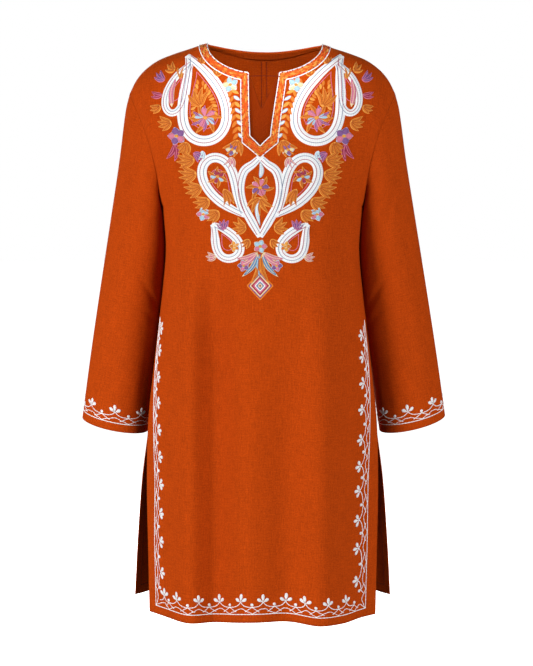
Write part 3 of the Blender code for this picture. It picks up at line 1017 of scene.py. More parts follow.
@dataclass
class ClothWall:
    """One thin wall of cloth, made from a grid and given its thickness inwards."""

    name: str
    grid: ClothGrid
    material: bpy.types.Material
    slot: str
    flat: tuple[float, float]
    area: float
    thickness: float = 0.0012
    tube: bool = False
    cutter: bpy.types.Object | None = None

    def build(self) -> bpy.types.Object:
        """Returns:
            The finished piece, without modifiers.
        """
        mesh = self.grid.mesh()
        if self.tube:
            bmesh.ops.remove_doubles(mesh, verts=mesh.verts[:], dist=1e-6)
            mesh.normal_update()
        mesh.faces.ensure_lookup_table()
        face = mesh.faces[len(mesh.faces) // 2 + (self.grid.points.shape[1] - 1) // 2]
        if face.normal.dot(self.nearest_outward(face.calc_center_median())) < 0:
            bmesh.ops.reverse_faces(mesh, faces=mesh.faces[:])
        piece = linked(self.name + "_cloth", mesh, self.material)
        solidify = piece.modifiers.new("cloth", "SOLIDIFY")
        solidify.thickness = self.thickness
        solidify.offset = -1.0
        if self.cutter:
            cut = piece.modifiers.new("cut", "BOOLEAN")
            cut.operation = "DIFFERENCE"
            cut.solver = "EXACT"
            cut.object = self.cutter
        self.apply(piece)
        dress(piece)
        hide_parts(self.name)
        return piece

    def nearest_outward(self, place: Vector) -> Vector:
        """The outward direction at the grid point nearest to a place."""
        gaps = np.linalg.norm(self.grid.points - np.array(place), axis=2)
        return Vector(self.grid.outward[np.unravel_index(gaps.argmin(), gaps.shape)])

    @staticmethod
    def apply(piece: bpy.types.Object) -> None:
        """Puts the result of a piece's modifiers in its mesh."""
        depsgraph = bpy.context.evaluated_depsgraph_get()
        made = bpy.data.meshes.new_from_object(piece.evaluated_get(depsgraph), depsgraph=depsgraph)
        piece.modifiers.clear()
        piece.data = made


@dataclass
class Neckline:
    """The leaning neck opening with its slit, as lines on the front."""

    form: GarmentForm
    half_width: float = 0.0925
    front_drop: float = 0.050
    back_depth: float = 0.048
    band_width: float = 0.0145
    slit_half_top: float = 0.0245
    slit_half_foot: float = 0.0155
    slit_foot_z: float = -0.1475
    arc_flare: float = 0.85
    foot_flare: float = 0.9
    foot_drop: float = 0.85
    tip_drop: float = 1.4
    inset_margin: float = 0.009
    inset_rise: float = 0.96
    inset_tuck: float = 0.004
    notch_half: float = 0.0215
    notch_tip_z: float = -0.104
    seam_margin: float = 0.0006

    def arc(self, width: float, foot_x: float, side: int, count: int) -> list[Point]:
        """One half of the front neck oval, from the shoulder line to where it meets x = foot_x."""
        half_width, drop = self.half_width + width, self.front_drop + width

        def at(turn: float) -> Point:
            return half_width * math.cos(turn), -drop * math.sin(turn)

        def under(turn: float) -> bool:
            x, z = at(turn)
            return z < self.form.shoulder_z(side * x + self.form.middle_line(z)) - self.seam_margin

        start = next(n / 1000 for n in range(1571) if under(n / 1000))
        end = math.acos(foot_x / half_width)
        return [at(start + (end - start) * (n / count) ** 1.5) for n in range(count + 1)]

    def half(self, width: float, side: int, fineness: int = 3) -> list[Point]:
        """One half of the line at a distance from the opening, from the shoulder to the slit's tip."""
        foot_x = self.slit_half_top + self.arc_flare * width
        arc = self.arc(width, foot_x, side, 12 * fineness)
        foot = (self.slit_half_foot + self.foot_flare * width, self.slit_foot_z - self.foot_drop * width)
        tip = (0.0, self.form.slit_tip_z - self.tip_drop * width)
        return arc + straight(arc[-1], foot, 8 * fineness) + straight(foot, tip, 2 * fineness)

    def whole(self, width: float, fineness: int = 3) -> list[Point]:
        """The line from one shoulder to the other, leaning with the middle of the front."""
        right, left = self.half(width, 1, fineness), self.half(width, -1, fineness)
        both = right + [(-x, z) for x, z in reversed(left[:-1])]
        return [self.lean(point) for point in both]

    def lean(self, point: Point) -> Point:
        """Moves a place with the leaning middle of the front."""
        return point[0] + self.form.middle_line(point[1]), point[1]

    def front_cutter(self) -> bpy.types.Object:
        """The prism that opens the front's neck and slit."""
        above, ahead, through = 0.05, -0.30, Vector((0, 0.35, 0))
        outline = self.whole(0.0)
        outline = [(outline[0][0], above), *outline, (outline[-1][0], above)]
        return prism("neck_cutter", [(x, ahead, z) for x, z in outline], through)

    def back_cutter(self) -> bpy.types.Object:
        """The prism that opens the back's neck."""
        count, ahead, foot, through = 48, -0.02, -0.035, Vector((0, 0, 0.085))
        turns = [math.pi * n / count for n in range(count + 1)]
        oval = [(self.half_width * math.cos(turn), self.back_depth * math.sin(turn)) for turn in turns]
        outline = [(self.half_width, ahead), *oval, (-self.half_width, ahead)]
        return prism("back_neck_cutter", [(x + self.form.middle_at_neck, y, foot) for x, y in outline], through)


def prism(name: str, corners: Sequence[tuple[float, float, float]], sweep: Vector) -> bpy.types.Object:
    """Makes a cutter by extruding an outline; it is removed once its cut is applied."""
    mesh = bmesh.new()
    face = mesh.faces.new([mesh.verts.new(corner) for corner in corners])
    made = bmesh.ops.extrude_face_region(mesh, geom=[face], use_keep_orig=True)
    bmesh.ops.translate(mesh, vec=sweep, verts=[v for v in made["geom"] if isinstance(v, bmesh.types.BMVert)])
    bmesh.ops.recalc_face_normals(mesh, faces=mesh.faces[:])
    return linked(name, mesh)


def remove(piece: bpy.types.Object) -> None:
    """Removes a cutter that has done its work."""
    data = piece.data
    bpy.data.objects.remove(piece)
    bpy.data.meshes.remove(data)


def piece_trees(pieces: Sequence[bpy.types.Object]) -> list[BVHTree]:
    """A search tree of each finished wall."""
    depsgraph = bpy.context.evaluated_depsgraph_get()
    return [BVHTree.FromObject(piece, depsgraph) for piece in pieces]


def grid_tree(grid: ClothGrid) -> BVHTree:
    """A search tree of a wall's outer face as it was before it was cut."""
    mesh = grid.mesh()
    tree = BVHTree.FromBMesh(mesh)
    mesh.free()
    return tree


def seen_ground(trees: Sequence[BVHTree], look: Vector, near: float) -> Ground:
    """The ground that a look along one axis meets.

    Args:
        trees: the walls that the look meets.
        look: +Y for places given as x and z, -Z for places given as x and y.
        near: how far along the axis the nearest wall is sought from, where the look meets none.

    Returns:
        A function from a place and a lift to a point off the outer face.
    """
    def place(a: float, b: float, lift: float) -> Vector:
        def at(far: float) -> Vector:
            return Vector((a, far, b)) if look.y else Vector((a, b, far))

        hits = [tree.ray_cast(at(-look.y - look.z), look) for tree in trees]
        met = [hit for hit in hits if hit[0]] or [tree.find_nearest(at(near)) for tree in trees]
        point, normal, _, _ = min(met, key=lambda hit: hit[3])
        return point + (normal if normal.dot(look) < 0 else -normal) * lift

    return place


@dataclass
class Body:
    """The front and the two halves of the back."""

    form: GarmentForm
    neck: Neckline
    linen: bpy.types.Material
    rows: int = 216
    columns: int = 120
    front_flat: tuple[float, float] = (0.44, 0.97)
    front_area: float = 0.412
    back_flat: tuple[float, float] = (0.225, 0.95)
    back_area: float = 0.207
    chest_z: float = -0.15

    def build(self) -> tuple[bpy.types.Object, list[bpy.types.Object]]:
        """Builds the front and the back.

        Returns:
            The front, and the two halves of the back.
        """
        self.front_grid = ClothGrid.sampled(
            self.rows, self.columns, lambda u, v: self.form.panel_point(True, 2 * u - 1, v), self.inside, True)
        cutter = self.neck.front_cutter()
        front = ClothWall("front", self.front_grid, self.linen, "front_cloth", self.front_flat, self.front_area,
                          cutter=cutter).build()
        remove(cutter)
        cutter = self.neck.back_cutter()
        backs = []
        self.back_grids = {}
        for name, side in (("back_left", 1), ("back_right", -1)):
            grid = ClothGrid.sampled(
                self.rows, self.columns // 2,
                lambda u, v, side=side: self.form.panel_point(False, side * u, v), self.inside, True)
            self.back_grids[side] = grid
            backs.append(ClothWall(name, grid, self.linen, "back_cloth", self.back_flat, self.back_area,
                                   cutter=cutter).build())
        remove(cutter)
        return front, backs

    def inside(self, v: float) -> Vector:
        """A point inside the body at a share of its height."""
        return Vector((0, 0, self.chest_z + (self.form.hem_z - self.chest_z) * v))


@dataclass
class Sleeves:
    """The two long sleeves."""

    form: GarmentForm
    linen: bpy.types.Material
    rows: int = 150
    columns: int = 96
    flat: tuple[float, float] = (0.34, 0.56)
    area: float = 0.157

    def build(self) -> dict[int, ClothGrid]:
        """Builds both sleeves.

        Returns:
            The grid of each, by its side.
        """
        grids = {}
        for name, side in (("sleeve_left", 1), ("sleeve_right", -1)):
            def middle(v: float, side: int = side) -> Vector:
                return (self.form.sleeve_point(side, 0, v) + self.form.sleeve_point(side, 0.5, v)) / 2

            grids[side] = ClothGrid.sampled(
                self.rows, self.columns, lambda u, v, side=side: self.form.sleeve_point(side, u % 1.0, v), middle)
            ClothWall(name, grids[side], self.linen, "sleeve_cloth", self.flat, self.area, tube=True).build()
        return grids


@dataclass
class Strips:
    """The narrow cloth pieces at the neck and down the middle of the back."""

    form: GarmentForm
    neck: Neckline
    linen: bpy.types.Material
    # The inset's cloth: the rust linen darkened, painted shade for a piece behind the slit.
    inner: bpy.types.Material
    band_cloth: bpy.types.Material
    on_front: Ground
    on_back: Ground
    cloth: float = 0.0012
    thickness: float = 0.0008
    gap: float = 0.0003
    inset_gap: float = 0.0004
    facing_gap: float = 0.0001
    band_start: float = 0.0008
    facing_depth: float = 0.011
    facing_start: float = 0.001
    facing_flare: float = 0.8
    facing_turns: tuple[float, float] = (0.06, 0.88)
    seam_tape: float = 0.008
    seam_shift: float = 0.25
    seam_rows: tuple[float, float] = (0.098, 0.985)
    inside: tuple[float, float, float] = (0.0, 0.0, -0.2)

    def strip(self, name: str, inner: Sequence[Point], outer: Sequence[Point], ground: Ground, lift: float,
              across: int, material: bpy.types.Material, slot: str, flat: tuple[float, float],
              area: float) -> None:
        """Builds one strip between two lines of equal length.

        Args:
            name: the node that it replaces.
            inner: its first line.
            outer: its second line.
            ground: where it lies.
            lift: how far its outer face stands off the ground.
            across: the number of cells across.
            material: its cloth.
            slot: not used.
            flat: not used.
            area: not used.
        """
        def at(start: Point, end: Point, j: int) -> Vector:
            return ground(*(a + (b - a) * j / across for a, b in zip(start, end)), lift)

        points = [[at(start, end, j) for start, end in zip(inner, outer)] for j in range(across + 1)]
        grid = ClothGrid.facing_out(np.array(points), np.array(self.inside))
        ClothWall(name, grid, material, slot, flat, area, self.thickness).build()

    def build(self) -> None:
        """Builds the band, the inset, the facing and the centre seam."""
        inner, outer = self.neck.whole(self.band_start), self.neck.whole(self.neck.band_width)
        self.strip("neck_band", inner, outer, self.on_front, self.thickness + self.gap, 6,
                   self.band_cloth, "band", (0.014, 0.46), 0.0062)
        notch, rim = self.inset_edges()
        # The inset is cut from the darker inner linen, painted shade for a piece that sits back behind the slit.
        self.strip("slit_inset", notch, rim, self.on_front, -self.cloth - self.inset_gap, 10, self.inner,
                   "inner_cloth", (0.05, 0.11), 0.0047)
        self.strip("back_neck_facing", self.facing_line(0.0), self.facing_line(1.0), self.on_back,
                   -self.cloth - self.facing_gap, 6, self.linen, "inner_cloth", (0.2, 0.013), 0.0024)
        self.centre_seam()

    def inset_edges(self) -> list[list[Point]]:
        """The notch and the outer edge of the inset behind the slit, both leaning."""
        neck = self.neck
        top = (neck.notch_half, -neck.front_drop * neck.inset_rise - neck.inset_tuck)
        notch = [top] + straight(top, (0.0, neck.notch_tip_z), 36)
        margin = (neck.slit_half_top + neck.inset_margin, top[1])
        foot = (neck.slit_half_foot + neck.inset_margin, neck.slit_foot_z - neck.inset_margin)
        tip = (0.0, self.form.slit_tip_z - neck.inset_margin)
        rim = [margin] + straight(margin, foot, 27) + straight(foot, tip, 9)
        return [[neck.lean(point) for point in half + [(-x, z) for x, z in reversed(half[:-1])]]
                for half in (notch, rim)]

    def facing_line(self, share: float) -> list[Point]:
        """A line round the inside of the back neck, at a share of the facing's depth."""
        neck, count = self.neck, 72
        start, span = self.facing_turns
        turns = [math.pi * (start + span * n / count) for n in range(count + 1)]
        out = self.facing_start + self.facing_depth * share
        return [((neck.half_width + out * self.facing_flare) * math.cos(turn) + self.form.middle_at_neck,
                 (neck.back_depth + out) * math.sin(turn)) for turn in turns]

    def centre_seam(self) -> None:
        """The pressed seam allowance inside the middle of the back."""
        count, (top, foot) = 160, self.seam_rows
        points = []
        for share in (0.0, 0.5, 1.0):
            line = []
            for n in range(count + 1):
                point = self.form.panel_point(False, 0.0, top + (foot - top) * n / count)
                ahead = self.form.panel_point(False, 0.0, top + (foot - top) * (n + 0.5) / count)
                along = (ahead - point).normalized()
                inward = Vector((0, -abs(along.z), along.y * math.copysign(1, -along.z))).normalized()
                point.x = self.seam_tape * (share - self.seam_shift)
                line.append(point + inward * (self.cloth + self.gap))
            points.append(line)
        grid = np.array(points)
        outward = np.zeros_like(grid)
        outward[:, :, 1] = 1.0
        ClothWall("centre_back_seam", ClothGrid(grid, outward), self.linen, "inner_cloth", (0.010, 0.87), 0.0070,
                  self.thickness).build()


@dataclass
class Border:
    """The white line, lattice, scallops, sprigs and buds that edge the cuffs, the front hem and the slits.

    Heights are in metres above the straight line, and shares run from a sprig to the bud beside it.
    """

    inset: float = 0.0140
    seed: int = 11
    line_step: float = 0.012
    end_gap: float = 0.0100
    sprig_base: float = 0.0195
    bud_base: float = 0.0112
    line_width: float = 0.0021
    scallop_width: float = 0.0019
    lattice_width: float = 0.0016
    petal_root: float = 0.0016
    petal_width: float = 0.0058
    knot_radius: float = 0.0014
    bud_radius: float = 0.0026

    SCALLOP = ((0.03, 0.0192), (0.10, 0.0172), (0.22, 0.0150), (0.38, 0.0132), (0.58, 0.0121), (0.82, 0.0116),
               (1.00, 0.0115))
    WAVE = ((0.00, 0.0088), (0.22, 0.0082), (0.44, 0.0058), (0.60, 0.0045), (0.78, 0.0030))
    PEAK = ((-0.62, 0.0040), (-0.46, 0.0058), (-0.24, 0.0084), (0.0, 0.0112), (0.24, 0.0084), (0.46, 0.0058),
            (0.62, 0.0040))
    PETALS = ((-0.98, 0.0100), (0.0, 0.0118), (0.98, 0.0100))

    def __post_init__(self) -> None:
        """Starts the small unevenness of hand work."""
        self.chance = random.Random(self.seed)

    def shaken(self, value: float, much: float = 0.0005) -> float:
        """A value with a little unevenness."""
        return value + self.chance.uniform(-much, much)

    def run(self, work: Needlework, sprigs: Sequence[float], buds: Sequence[float], span: tuple[float, float],
            scale: float = 1.0) -> None:
        """Sews one stretch of border along the ground's first measure.

        Args:
            work: where the stitches go.
            sprigs: where the sprigs stand.
            buds: where the buds stand, one at least between any two sprigs.
            span: where the straight line starts and ends.
            scale: the motifs' height, as a share of their full one.
        """
        steps = max(int((span[1] - span[0]) / self.line_step), 2)
        line = [(span[0] + (span[1] - span[0]) * n / steps, self.inset) for n in range(steps + 1)]
        work.line(line, Thread.WHITE, self.line_width)
        ends = (span[0] + self.end_gap * scale, span[1] - self.end_gap * scale)
        for place in sprigs:
            for side in (-1, 1):
                beyond = [bud for bud in buds if (bud - place) * side > 0]
                end = min(beyond, key=lambda bud: abs(bud - place)) if beyond else ends[side > 0]
                scallop = [(place + (end - place) * share, self.inset + height * scale)
                           for share, height in self.SCALLOP]
                work.line(scallop, Thread.WHITE, self.scallop_width)
            self.sprig(work, self.shaken(place, 0.0007), self.inset + self.shaken(self.sprig_base) * scale, scale)
        self.lattice(work, sorted(sprigs), sorted(buds), span, scale)
        for place in buds:
            self.bud(work, self.shaken(place, 0.0005), self.inset + self.bud_base * scale, scale)

    def lattice(self, work: Needlework, sprigs: Sequence[float], buds: Sequence[float],
                span: tuple[float, float], scale: float) -> None:
        """The wave that touches the straight line under each bud, and the peak above it."""
        places = [span[0], *buds, span[1]]
        touch = 0.0010
        wave = []
        for bud, after in zip(places, places[1:]):
            middle = next((s for s in sprigs if bud < s < after), (bud + after) / 2)
            wave.append((bud, self.shaken(touch, 0.0003)))
            for share, height in reversed(self.WAVE[1:]):
                wave.append((middle + (bud - middle) * share, self.shaken(height, 0.0006)))
            for share, height in self.WAVE:
                wave.append((middle + (after - middle) * share, self.shaken(height, 0.0006)))
        wave.append((span[1], touch))
        work.line([(a, self.inset + height * scale) for a, height in wave], Thread.WHITE, self.lattice_width)
        for bud in buds:
            left = min((abs(bud - s) for s in sprigs if s < bud), default=self.line_step)
            right = min((abs(bud - s) for s in sprigs if s > bud), default=self.line_step)
            peak = [(bud + (left if share < 0 else right) * share,
                     self.inset + self.shaken(height, 0.0003) * scale) for share, height in self.PEAK]
            work.line(peak, Thread.WHITE, self.lattice_width)

    def sprig(self, work: Needlework, middle: float, base: float, scale: float) -> None:
        """Three looped petals on one root."""
        for lean, length in self.PETALS:
            lean = self.shaken(lean, 0.12)
            size = self.shaken(length, 0.0006)
            root, tip = ((middle + reach * math.sin(lean), base + reach * math.cos(lean) * scale)
                         for reach in (self.petal_root, size + self.petal_root))
            work.petal(root, tip, self.petal_width, Thread.WHITE)
        work.knot((middle, base + 0.0004), self.knot_radius, Thread.WHITE)

    def bud(self, work: Needlework, middle: float, base: float, scale: float) -> None:
        """One small looped bud on a stem."""
        work.line([(middle, base + rise * scale) for rise in (0.0, 0.0008, 0.0016)], Thread.WHITE)
        work.knot((middle, base + 0.0042 * scale), self.bud_radius, Thread.WHITE, 0.0014)


@dataclass
class Yoke:
    """The V of embroidery below the neck: botehs, an ogee medallion, leaf fans and flowers.

    Places are for the wearer's left, and each is sewn again on the right.
    """

    form: GarmentForm
    neck: Neckline
    ground: Ground
    finish: bpy.types.Material
    step: float = 0.0024
    frame_band: float = 0.0150
    shortened: float = 0.965
    boteh_middle: float = 0.38
    boteh_roundness: float = 0.62
    boteh_point: float = 1.4
    hook_drop: float = 0.25
    inner_line: float = 1.55
    fringe_line: float = 1.75
    fringed_width: float = 0.060
    fringe_length: float = 0.0095
    fringe_width: float = 0.0052
    leaf_bend: float = -0.10
    garland_step: float = 0.0105
    garland_length: float = 0.013
    garland_width: float = 0.0062
    petal_count: int = 5
    first_petal: float = 0.3
    petal_width: float = 0.92
    petal_root: float = 0.12
    heart: float = 0.22

    BOTEHS = (
        Boteh(0.087, -0.162, 0.150, 0.080, 0.05, 0.20, 0.0180),
        Boteh(0.143, -0.116, 0.092, 0.034, -0.12, -0.20, 0.0125),
        Boteh(0.077, -0.190, 0.110, 0.054, math.pi + 0.31, 0.20, 0.0165),
        Boteh(0.045, -0.354, 0.066, 0.042, 0.28, 0.22, 0.0150),
    )
    FRAME = ((0.000, -0.188), (0.011, -0.199), (0.026, -0.212), (0.032, -0.238),
             (0.027, -0.266), (0.013, -0.294), (0.000, -0.318))
    BLOOMS = (
        Bloom(0.088, -0.124, 0.0175, Thread.PINK, Thread.SKY, Thread.WHITE),
        Bloom(0.052, -0.070, 0.0130, Thread.SKY, Thread.CREAM, Thread.WHITE),
        Bloom(0.133, -0.154, 0.0150, Thread.PURPLE, Thread.PINK, Thread.SKY),
        Bloom(0.067, -0.220, 0.0120, Thread.CRIMSON, Thread.SKY, Thread.CREAM),
        Bloom(0.090, -0.282, 0.0115, Thread.SKY, Thread.PINK, Thread.WHITE),
        Bloom(0.040, -0.334, 0.0095, Thread.GOLD, Thread.ORANGE, Thread.CREAM),
        Bloom(0.026, -0.366, 0.0100, Thread.PINK, Thread.PURPLE, Thread.SKY),
        Bloom(0.044, -0.176, 0.0105, Thread.PURPLE, Thread.CREAM, Thread.SKY),
    )
    MIDDLE_BLOOMS = (
        Bloom(0.0, -0.238, 0.0150, Thread.PINK, Thread.PURPLE, Thread.WHITE),
        Bloom(0.0, -0.334, 0.0115, Thread.SKY, Thread.PINK, Thread.CREAM),
    )
    FANS = (
        Fan(0.096, -0.106, -0.42, 0.42, 4, 0.034, 0.0092),
        Fan(0.090, -0.124, 0.00, math.pi / 3, 6, 0.024, 0.0075, Thread.PURPLE, Thread.PINK),
        Fan(0.143, -0.106, -0.08, 0.00, 1, 0.050, 0.0110, Thread.PINK, Thread.CREAM),
        Fan(0.158, -0.062, 0.45, 0.42, 3, 0.020, 0.0080, Thread.PURPLE, Thread.PINK),
        Fan(0.160, -0.086, 1.30, 0.45, 2, 0.019, 0.0080, Thread.CRIMSON, Thread.PINK),
        Fan(0.162, -0.104, 1.60, 0.42, 3, 0.018, 0.0080),
        Fan(0.143, -0.130, 1.15, 0.42, 4, 0.023, 0.0085),
        Fan(0.132, -0.060, -0.20, 0.50, 2, 0.021, 0.0075, Thread.GOLD, Thread.ORANGE),
        Fan(0.143, -0.046, 0.30, 0.60, 3, 0.017, 0.0075),
        Fan(0.100, -0.036, -0.70, 0.60, 3, 0.015, 0.0070),
        Fan(0.072, -0.056, -0.70, 0.70, 3, 0.015, 0.0065),
        Fan(0.135, -0.166, 2.62, 0.48, 2, 0.030, 0.0090, Thread.CRIMSON, Thread.PINK),
        Fan(0.118, -0.164, 2.10, 0.42, 4, 0.023, 0.0085),
        Fan(0.104, -0.192, 0.95, 0.38, 4, 0.031, 0.0090),
        Fan(0.101, -0.214, 1.10, 0.38, 4, 0.031, 0.0090),
        Fan(0.093, -0.236, 1.25, 0.38, 4, 0.030, 0.0090),
        Fan(0.081, -0.257, 1.40, 0.38, 4, 0.028, 0.0088),
        Fan(0.066, -0.276, 1.55, 0.38, 4, 0.026, 0.0085),
        Fan(0.058, -0.240, 3.15, 0.30, 3, 0.032, 0.0080),
        Fan(0.088, -0.124, 0.52, math.pi / 3, 6, 0.030, 0.0085),
        Fan(0.067, -0.220, 0.00, math.pi / 3, 6, 0.0195, 0.0070),
        Fan(0.106, -0.182, 3.60, 0.40, 3, 0.018, 0.0075, Thread.PURPLE, Thread.PINK),
        Fan(0.092, -0.178, 2.80, 0.50, 2, 0.016, 0.0070, Thread.SKY, Thread.WHITE),
        Fan(0.036, -0.160, 2.10, 0.42, 4, 0.030, 0.0085),
        Fan(0.046, -0.188, 2.40, 0.50, 3, 0.020, 0.0075, Thread.PINK, Thread.CREAM),
        Fan(0.022, -0.302, 0.70, 0.50, 4, 0.023, 0.0080),
        Fan(0.055, -0.308, -0.30, 0.42, 4, 0.019, 0.0075, Thread.PURPLE, Thread.PINK),
        Fan(0.018, -0.322, 2.00, 0.45, 3, 0.018, 0.0070),
        Fan(0.070, -0.352, 1.10, 0.45, 3, 0.017, 0.0070, Thread.PINK, Thread.CREAM),
        Fan(0.004, -0.344, 1.85, 0.36, 2, 0.038, 0.0092, Thread.PINK, Thread.CREAM),
        Fan(0.003, -0.346, 2.55, 0.28, 1, 0.046, 0.0092, Thread.BLUE, Thread.CREAM),
        Fan(0.002, -0.348, 2.88, 0.28, 1, 0.050, 0.0088),
    )
    MIDDLE_FANS = (
        Fan(0.0, -0.222, 0.00, 0.00, 1, 0.026, 0.0085, Thread.WHITE, Thread.SKY),
        Fan(0.0, -0.238, 0.52, math.pi / 3, 6, 0.025, 0.0080),
        Fan(0.0, -0.254, 2.20, 0.47, 5, 0.030, 0.0078),
        Fan(0.0, -0.254, math.pi, 0.00, 1, 0.046, 0.0080, Thread.WHITE, Thread.SKY),
        Fan(0.0, -0.346, math.pi, 0.00, 1, 0.040, 0.0070, Thread.SKY, Thread.SLATE),
    )
    GARLAND = ((0.058, -0.060), (0.045, -0.090), (0.041, -0.115), (0.036, -0.140), (0.034, -0.160))

    def __post_init__(self) -> None:
        """Starts the three layers of the work."""
        def leaning(a: float, b: float, lift: float) -> Vector:
            return self.ground(*self.neck.lean((a, b * self.shortened)), lift)

        self.bands = Needlework("yoke_bands", leaning)
        self.leaves = Needlework("yoke_leaves", leaning)
        self.lines = Needlework("yoke_lines", leaning)

    def build(self) -> None:
        """Sews the whole yoke."""
        for side in (1, -1):
            for row in self.BOTEHS:
                self.band(self.boteh(side, row), row.band, 0.45)
                inner = self.boteh(side, row, 1 - self.inner_line * row.band / row.width)
                self.lines.line(inner[::3], Thread.PINK, 0.0014)
                if row.width > self.fringed_width:
                    self.fringe(side, row)
            self.band(smooth_path([(side * x, z) for x, z in self.FRAME], self.step), self.frame_band, 0.35)
            for row in self.FANS:
                self.fan(side, row)
            self.garland(side)
            for row in self.BLOOMS:
                self.bloom(side, row)
        for row in self.MIDDLE_FANS:
            self.fan(1, row)
        for row in self.MIDDLE_BLOOMS:
            self.bloom(1, row)
        for work in (self.bands, self.leaves, self.lines):
            work.finish(self.finish, "white_thread" if work is self.bands else "coloured_thread")

    def boteh(self, side: int, row: Boteh, shrink: float = 1.0) -> list[Point]:
        """The outline of a boteh, from its tip round and back to it.

        Args:
            side: 1 or -1, which mirrors it.
            row: its sizes.
            shrink: its size about its own middle.

        Returns:
            The outline's points, in even steps.
        """
        outline, count = [], 40
        cos, sin, middle = math.cos(row.turn), math.sin(row.turn), row.height * self.boteh_middle
        for n in range(count + 1):
            around = 2 * math.pi * n / count
            point = max(math.sin(around / 2), 0.0) ** self.boteh_point
            y = middle + (row.height * (1 + math.cos(around)) / 2 - middle) * shrink
            x = row.width * self.boteh_roundness * math.sin(around) * point * shrink
            x += row.hook * row.height * (y / row.height) ** 3
            y -= abs(row.hook) * row.height * self.hook_drop * (y / row.height) ** 4
            outline.append((side * (row.x + x * cos + y * sin), row.z - x * sin + y * cos))
        return smooth_path(outline, self.step)

    def fringe(self, side: int, row: Boteh) -> None:
        """Sews small leaves round the inside of a boteh, turned to its middle."""
        path = self.boteh(side, row, 1 - self.fringe_line * row.band / row.width)
        middle = np.mean(path, axis=0)
        for n, start in enumerate(path[4:-4:3]):
            way = middle - start
            end = start + way * (self.fringe_length / np.linalg.norm(way))
            self.leaves.leaf(start, tuple(end), self.fringe_width, Thread.GOLD if n % 2 else Thread.ORANGE)

    def band(self, path: list[Point], width: float, taper: float) -> None:
        """Sews a broad white band with its fine slate and crimson lines.

        Args:
            path: its middle line, in even steps.
            width: its width.
            taper: how much narrower its ends are, as a share.
        """
        def wide(t: float) -> float:
            return width * (1 - taper * max(1 - 6 * min(t, 1 - t), 0.0))

        self.bands.stroke(path, wide, Thread.WHITE, height=0.0013, across=8)
        tangent = tangents(path).tolist()
        for share, thread in ((0.17, Thread.SLATE), (-0.18, Thread.CRIMSON)):
            off = width * share
            offset = [(x - tz * off, z + tx * off) for (x, z), (tx, tz) in zip(path, tangent)]
            self.lines.stroke(offset[2:-2], 0.0010, thread, height=0.0006, lift=0.0012)

    def fan(self, side: int, row: Fan) -> None:
        """Sews leaves that spread from one root."""
        for n in range(row.count):
            turn = row.first_turn + row.turn_step * n
            reach = row.length * (1.0 - 0.06 * abs(n - (row.count - 1) / 2))
            end = (side * (row.x + reach * math.sin(turn)), row.z + reach * math.cos(turn))
            vein = Thread.RUST if row.fill in (Thread.ORANGE, Thread.GOLD) else row.rim
            bend = side * self.leaf_bend
            self.leaves.leaf((side * row.x, row.z), end, row.width, row.fill, bend, row.rim, vein)

    def garland(self, side: int) -> None:
        """Sews small leaves in pairs along the neck band's outer edge."""
        path = smooth_path(self.GARLAND, self.garland_step)
        for n, ((x, z), (far_x, far_z)) in enumerate(zip(path, path[1:])):
            along = math.atan2(far_x - x, far_z - z)
            for lean, fill in ((-0.75, Thread.ORANGE), (0.75, Thread.WHITE if n % 2 else Thread.GOLD)):
                tip = (side * (x + self.garland_length * math.sin(along + lean)),
                       z + self.garland_length * math.cos(along + lean))
                rim = Thread.SKY if fill is Thread.WHITE else None
                self.leaves.leaf((side * x, z), tip, self.garland_width, fill, 0.0, rim)

    def bloom(self, side: int, row: Bloom) -> None:
        """Sews a flower with rimmed petals and a knot in the middle."""
        for n in range(self.petal_count):
            turn = side * (2 * math.pi * n / self.petal_count + self.first_petal)
            way = (math.sin(turn), math.cos(turn))
            start, end = ((side * row.x + way[0] * reach, row.z + way[1] * reach)
                          for reach in (row.radius * self.petal_root, row.radius))
            fill = row.second if n % 2 else row.first
            self.leaves.leaf(start, end, row.radius * self.petal_width, fill, 0.0, row.rim)
        self.leaves.knot((side * row.x, row.z), row.radius * self.heart, Thread.GOLD, 0.0026)


@dataclass
class BandStitches:
    """The orange chain fill of the neck band, its white edges and its dark knots."""

    neck: Neckline
    ground: Ground
    finish: bpy.types.Material
    lift: float = 0.0011
    stitch: float = 0.0052
    stitch_width: float = 0.21
    edge_width: float = 0.0017
    knot_pitch: float = 0.0042
    knot_radius: float = 0.0013
    seed: int = 5

    FILLS = (Thread.FLAME, Thread.ORANGE, Thread.FLAME, Thread.GOLD, Thread.ORANGE, Thread.FLAME)
    LANES = (0.24, 0.41, 0.59, 0.76)
    EDGES = (0.06, 0.94)
    KNOTS = (0.17, 0.83)

    def build(self) -> None:
        """Sews the band."""
        chance = random.Random(self.seed)
        width = self.neck.band_width
        work = Needlework("neck_band_stitches", lambda a, b, lift: self.ground(a, b, lift + self.lift), sink=0.0)
        for lane, share in enumerate(self.LANES):
            path = smooth_path(self.neck.whole(width * share, 1), self.stitch / 2)
            for n in range(0, len(path) - 3, 2):
                lean = 0.105 if (n // 2 + lane) % 2 else -0.105
                work.leaf(path[n], path[n + 3], width * self.stitch_width, chance.choice(self.FILLS), lean,
                          height=0.0009, shade=0.35)
        for share in self.EDGES:
            path = smooth_path(self.neck.whole(width * share, 2), work.line_step)
            work.stroke(path, self.edge_width, Thread.WHITE, 0.0011)
        for share in self.KNOTS:
            for place in smooth_path(self.neck.whole(width * share, 1), self.knot_pitch)[1:-1:2]:
                work.knot(place, self.knot_radius, Thread.RED, 0.0022)
        work.finish(self.finish, "band")


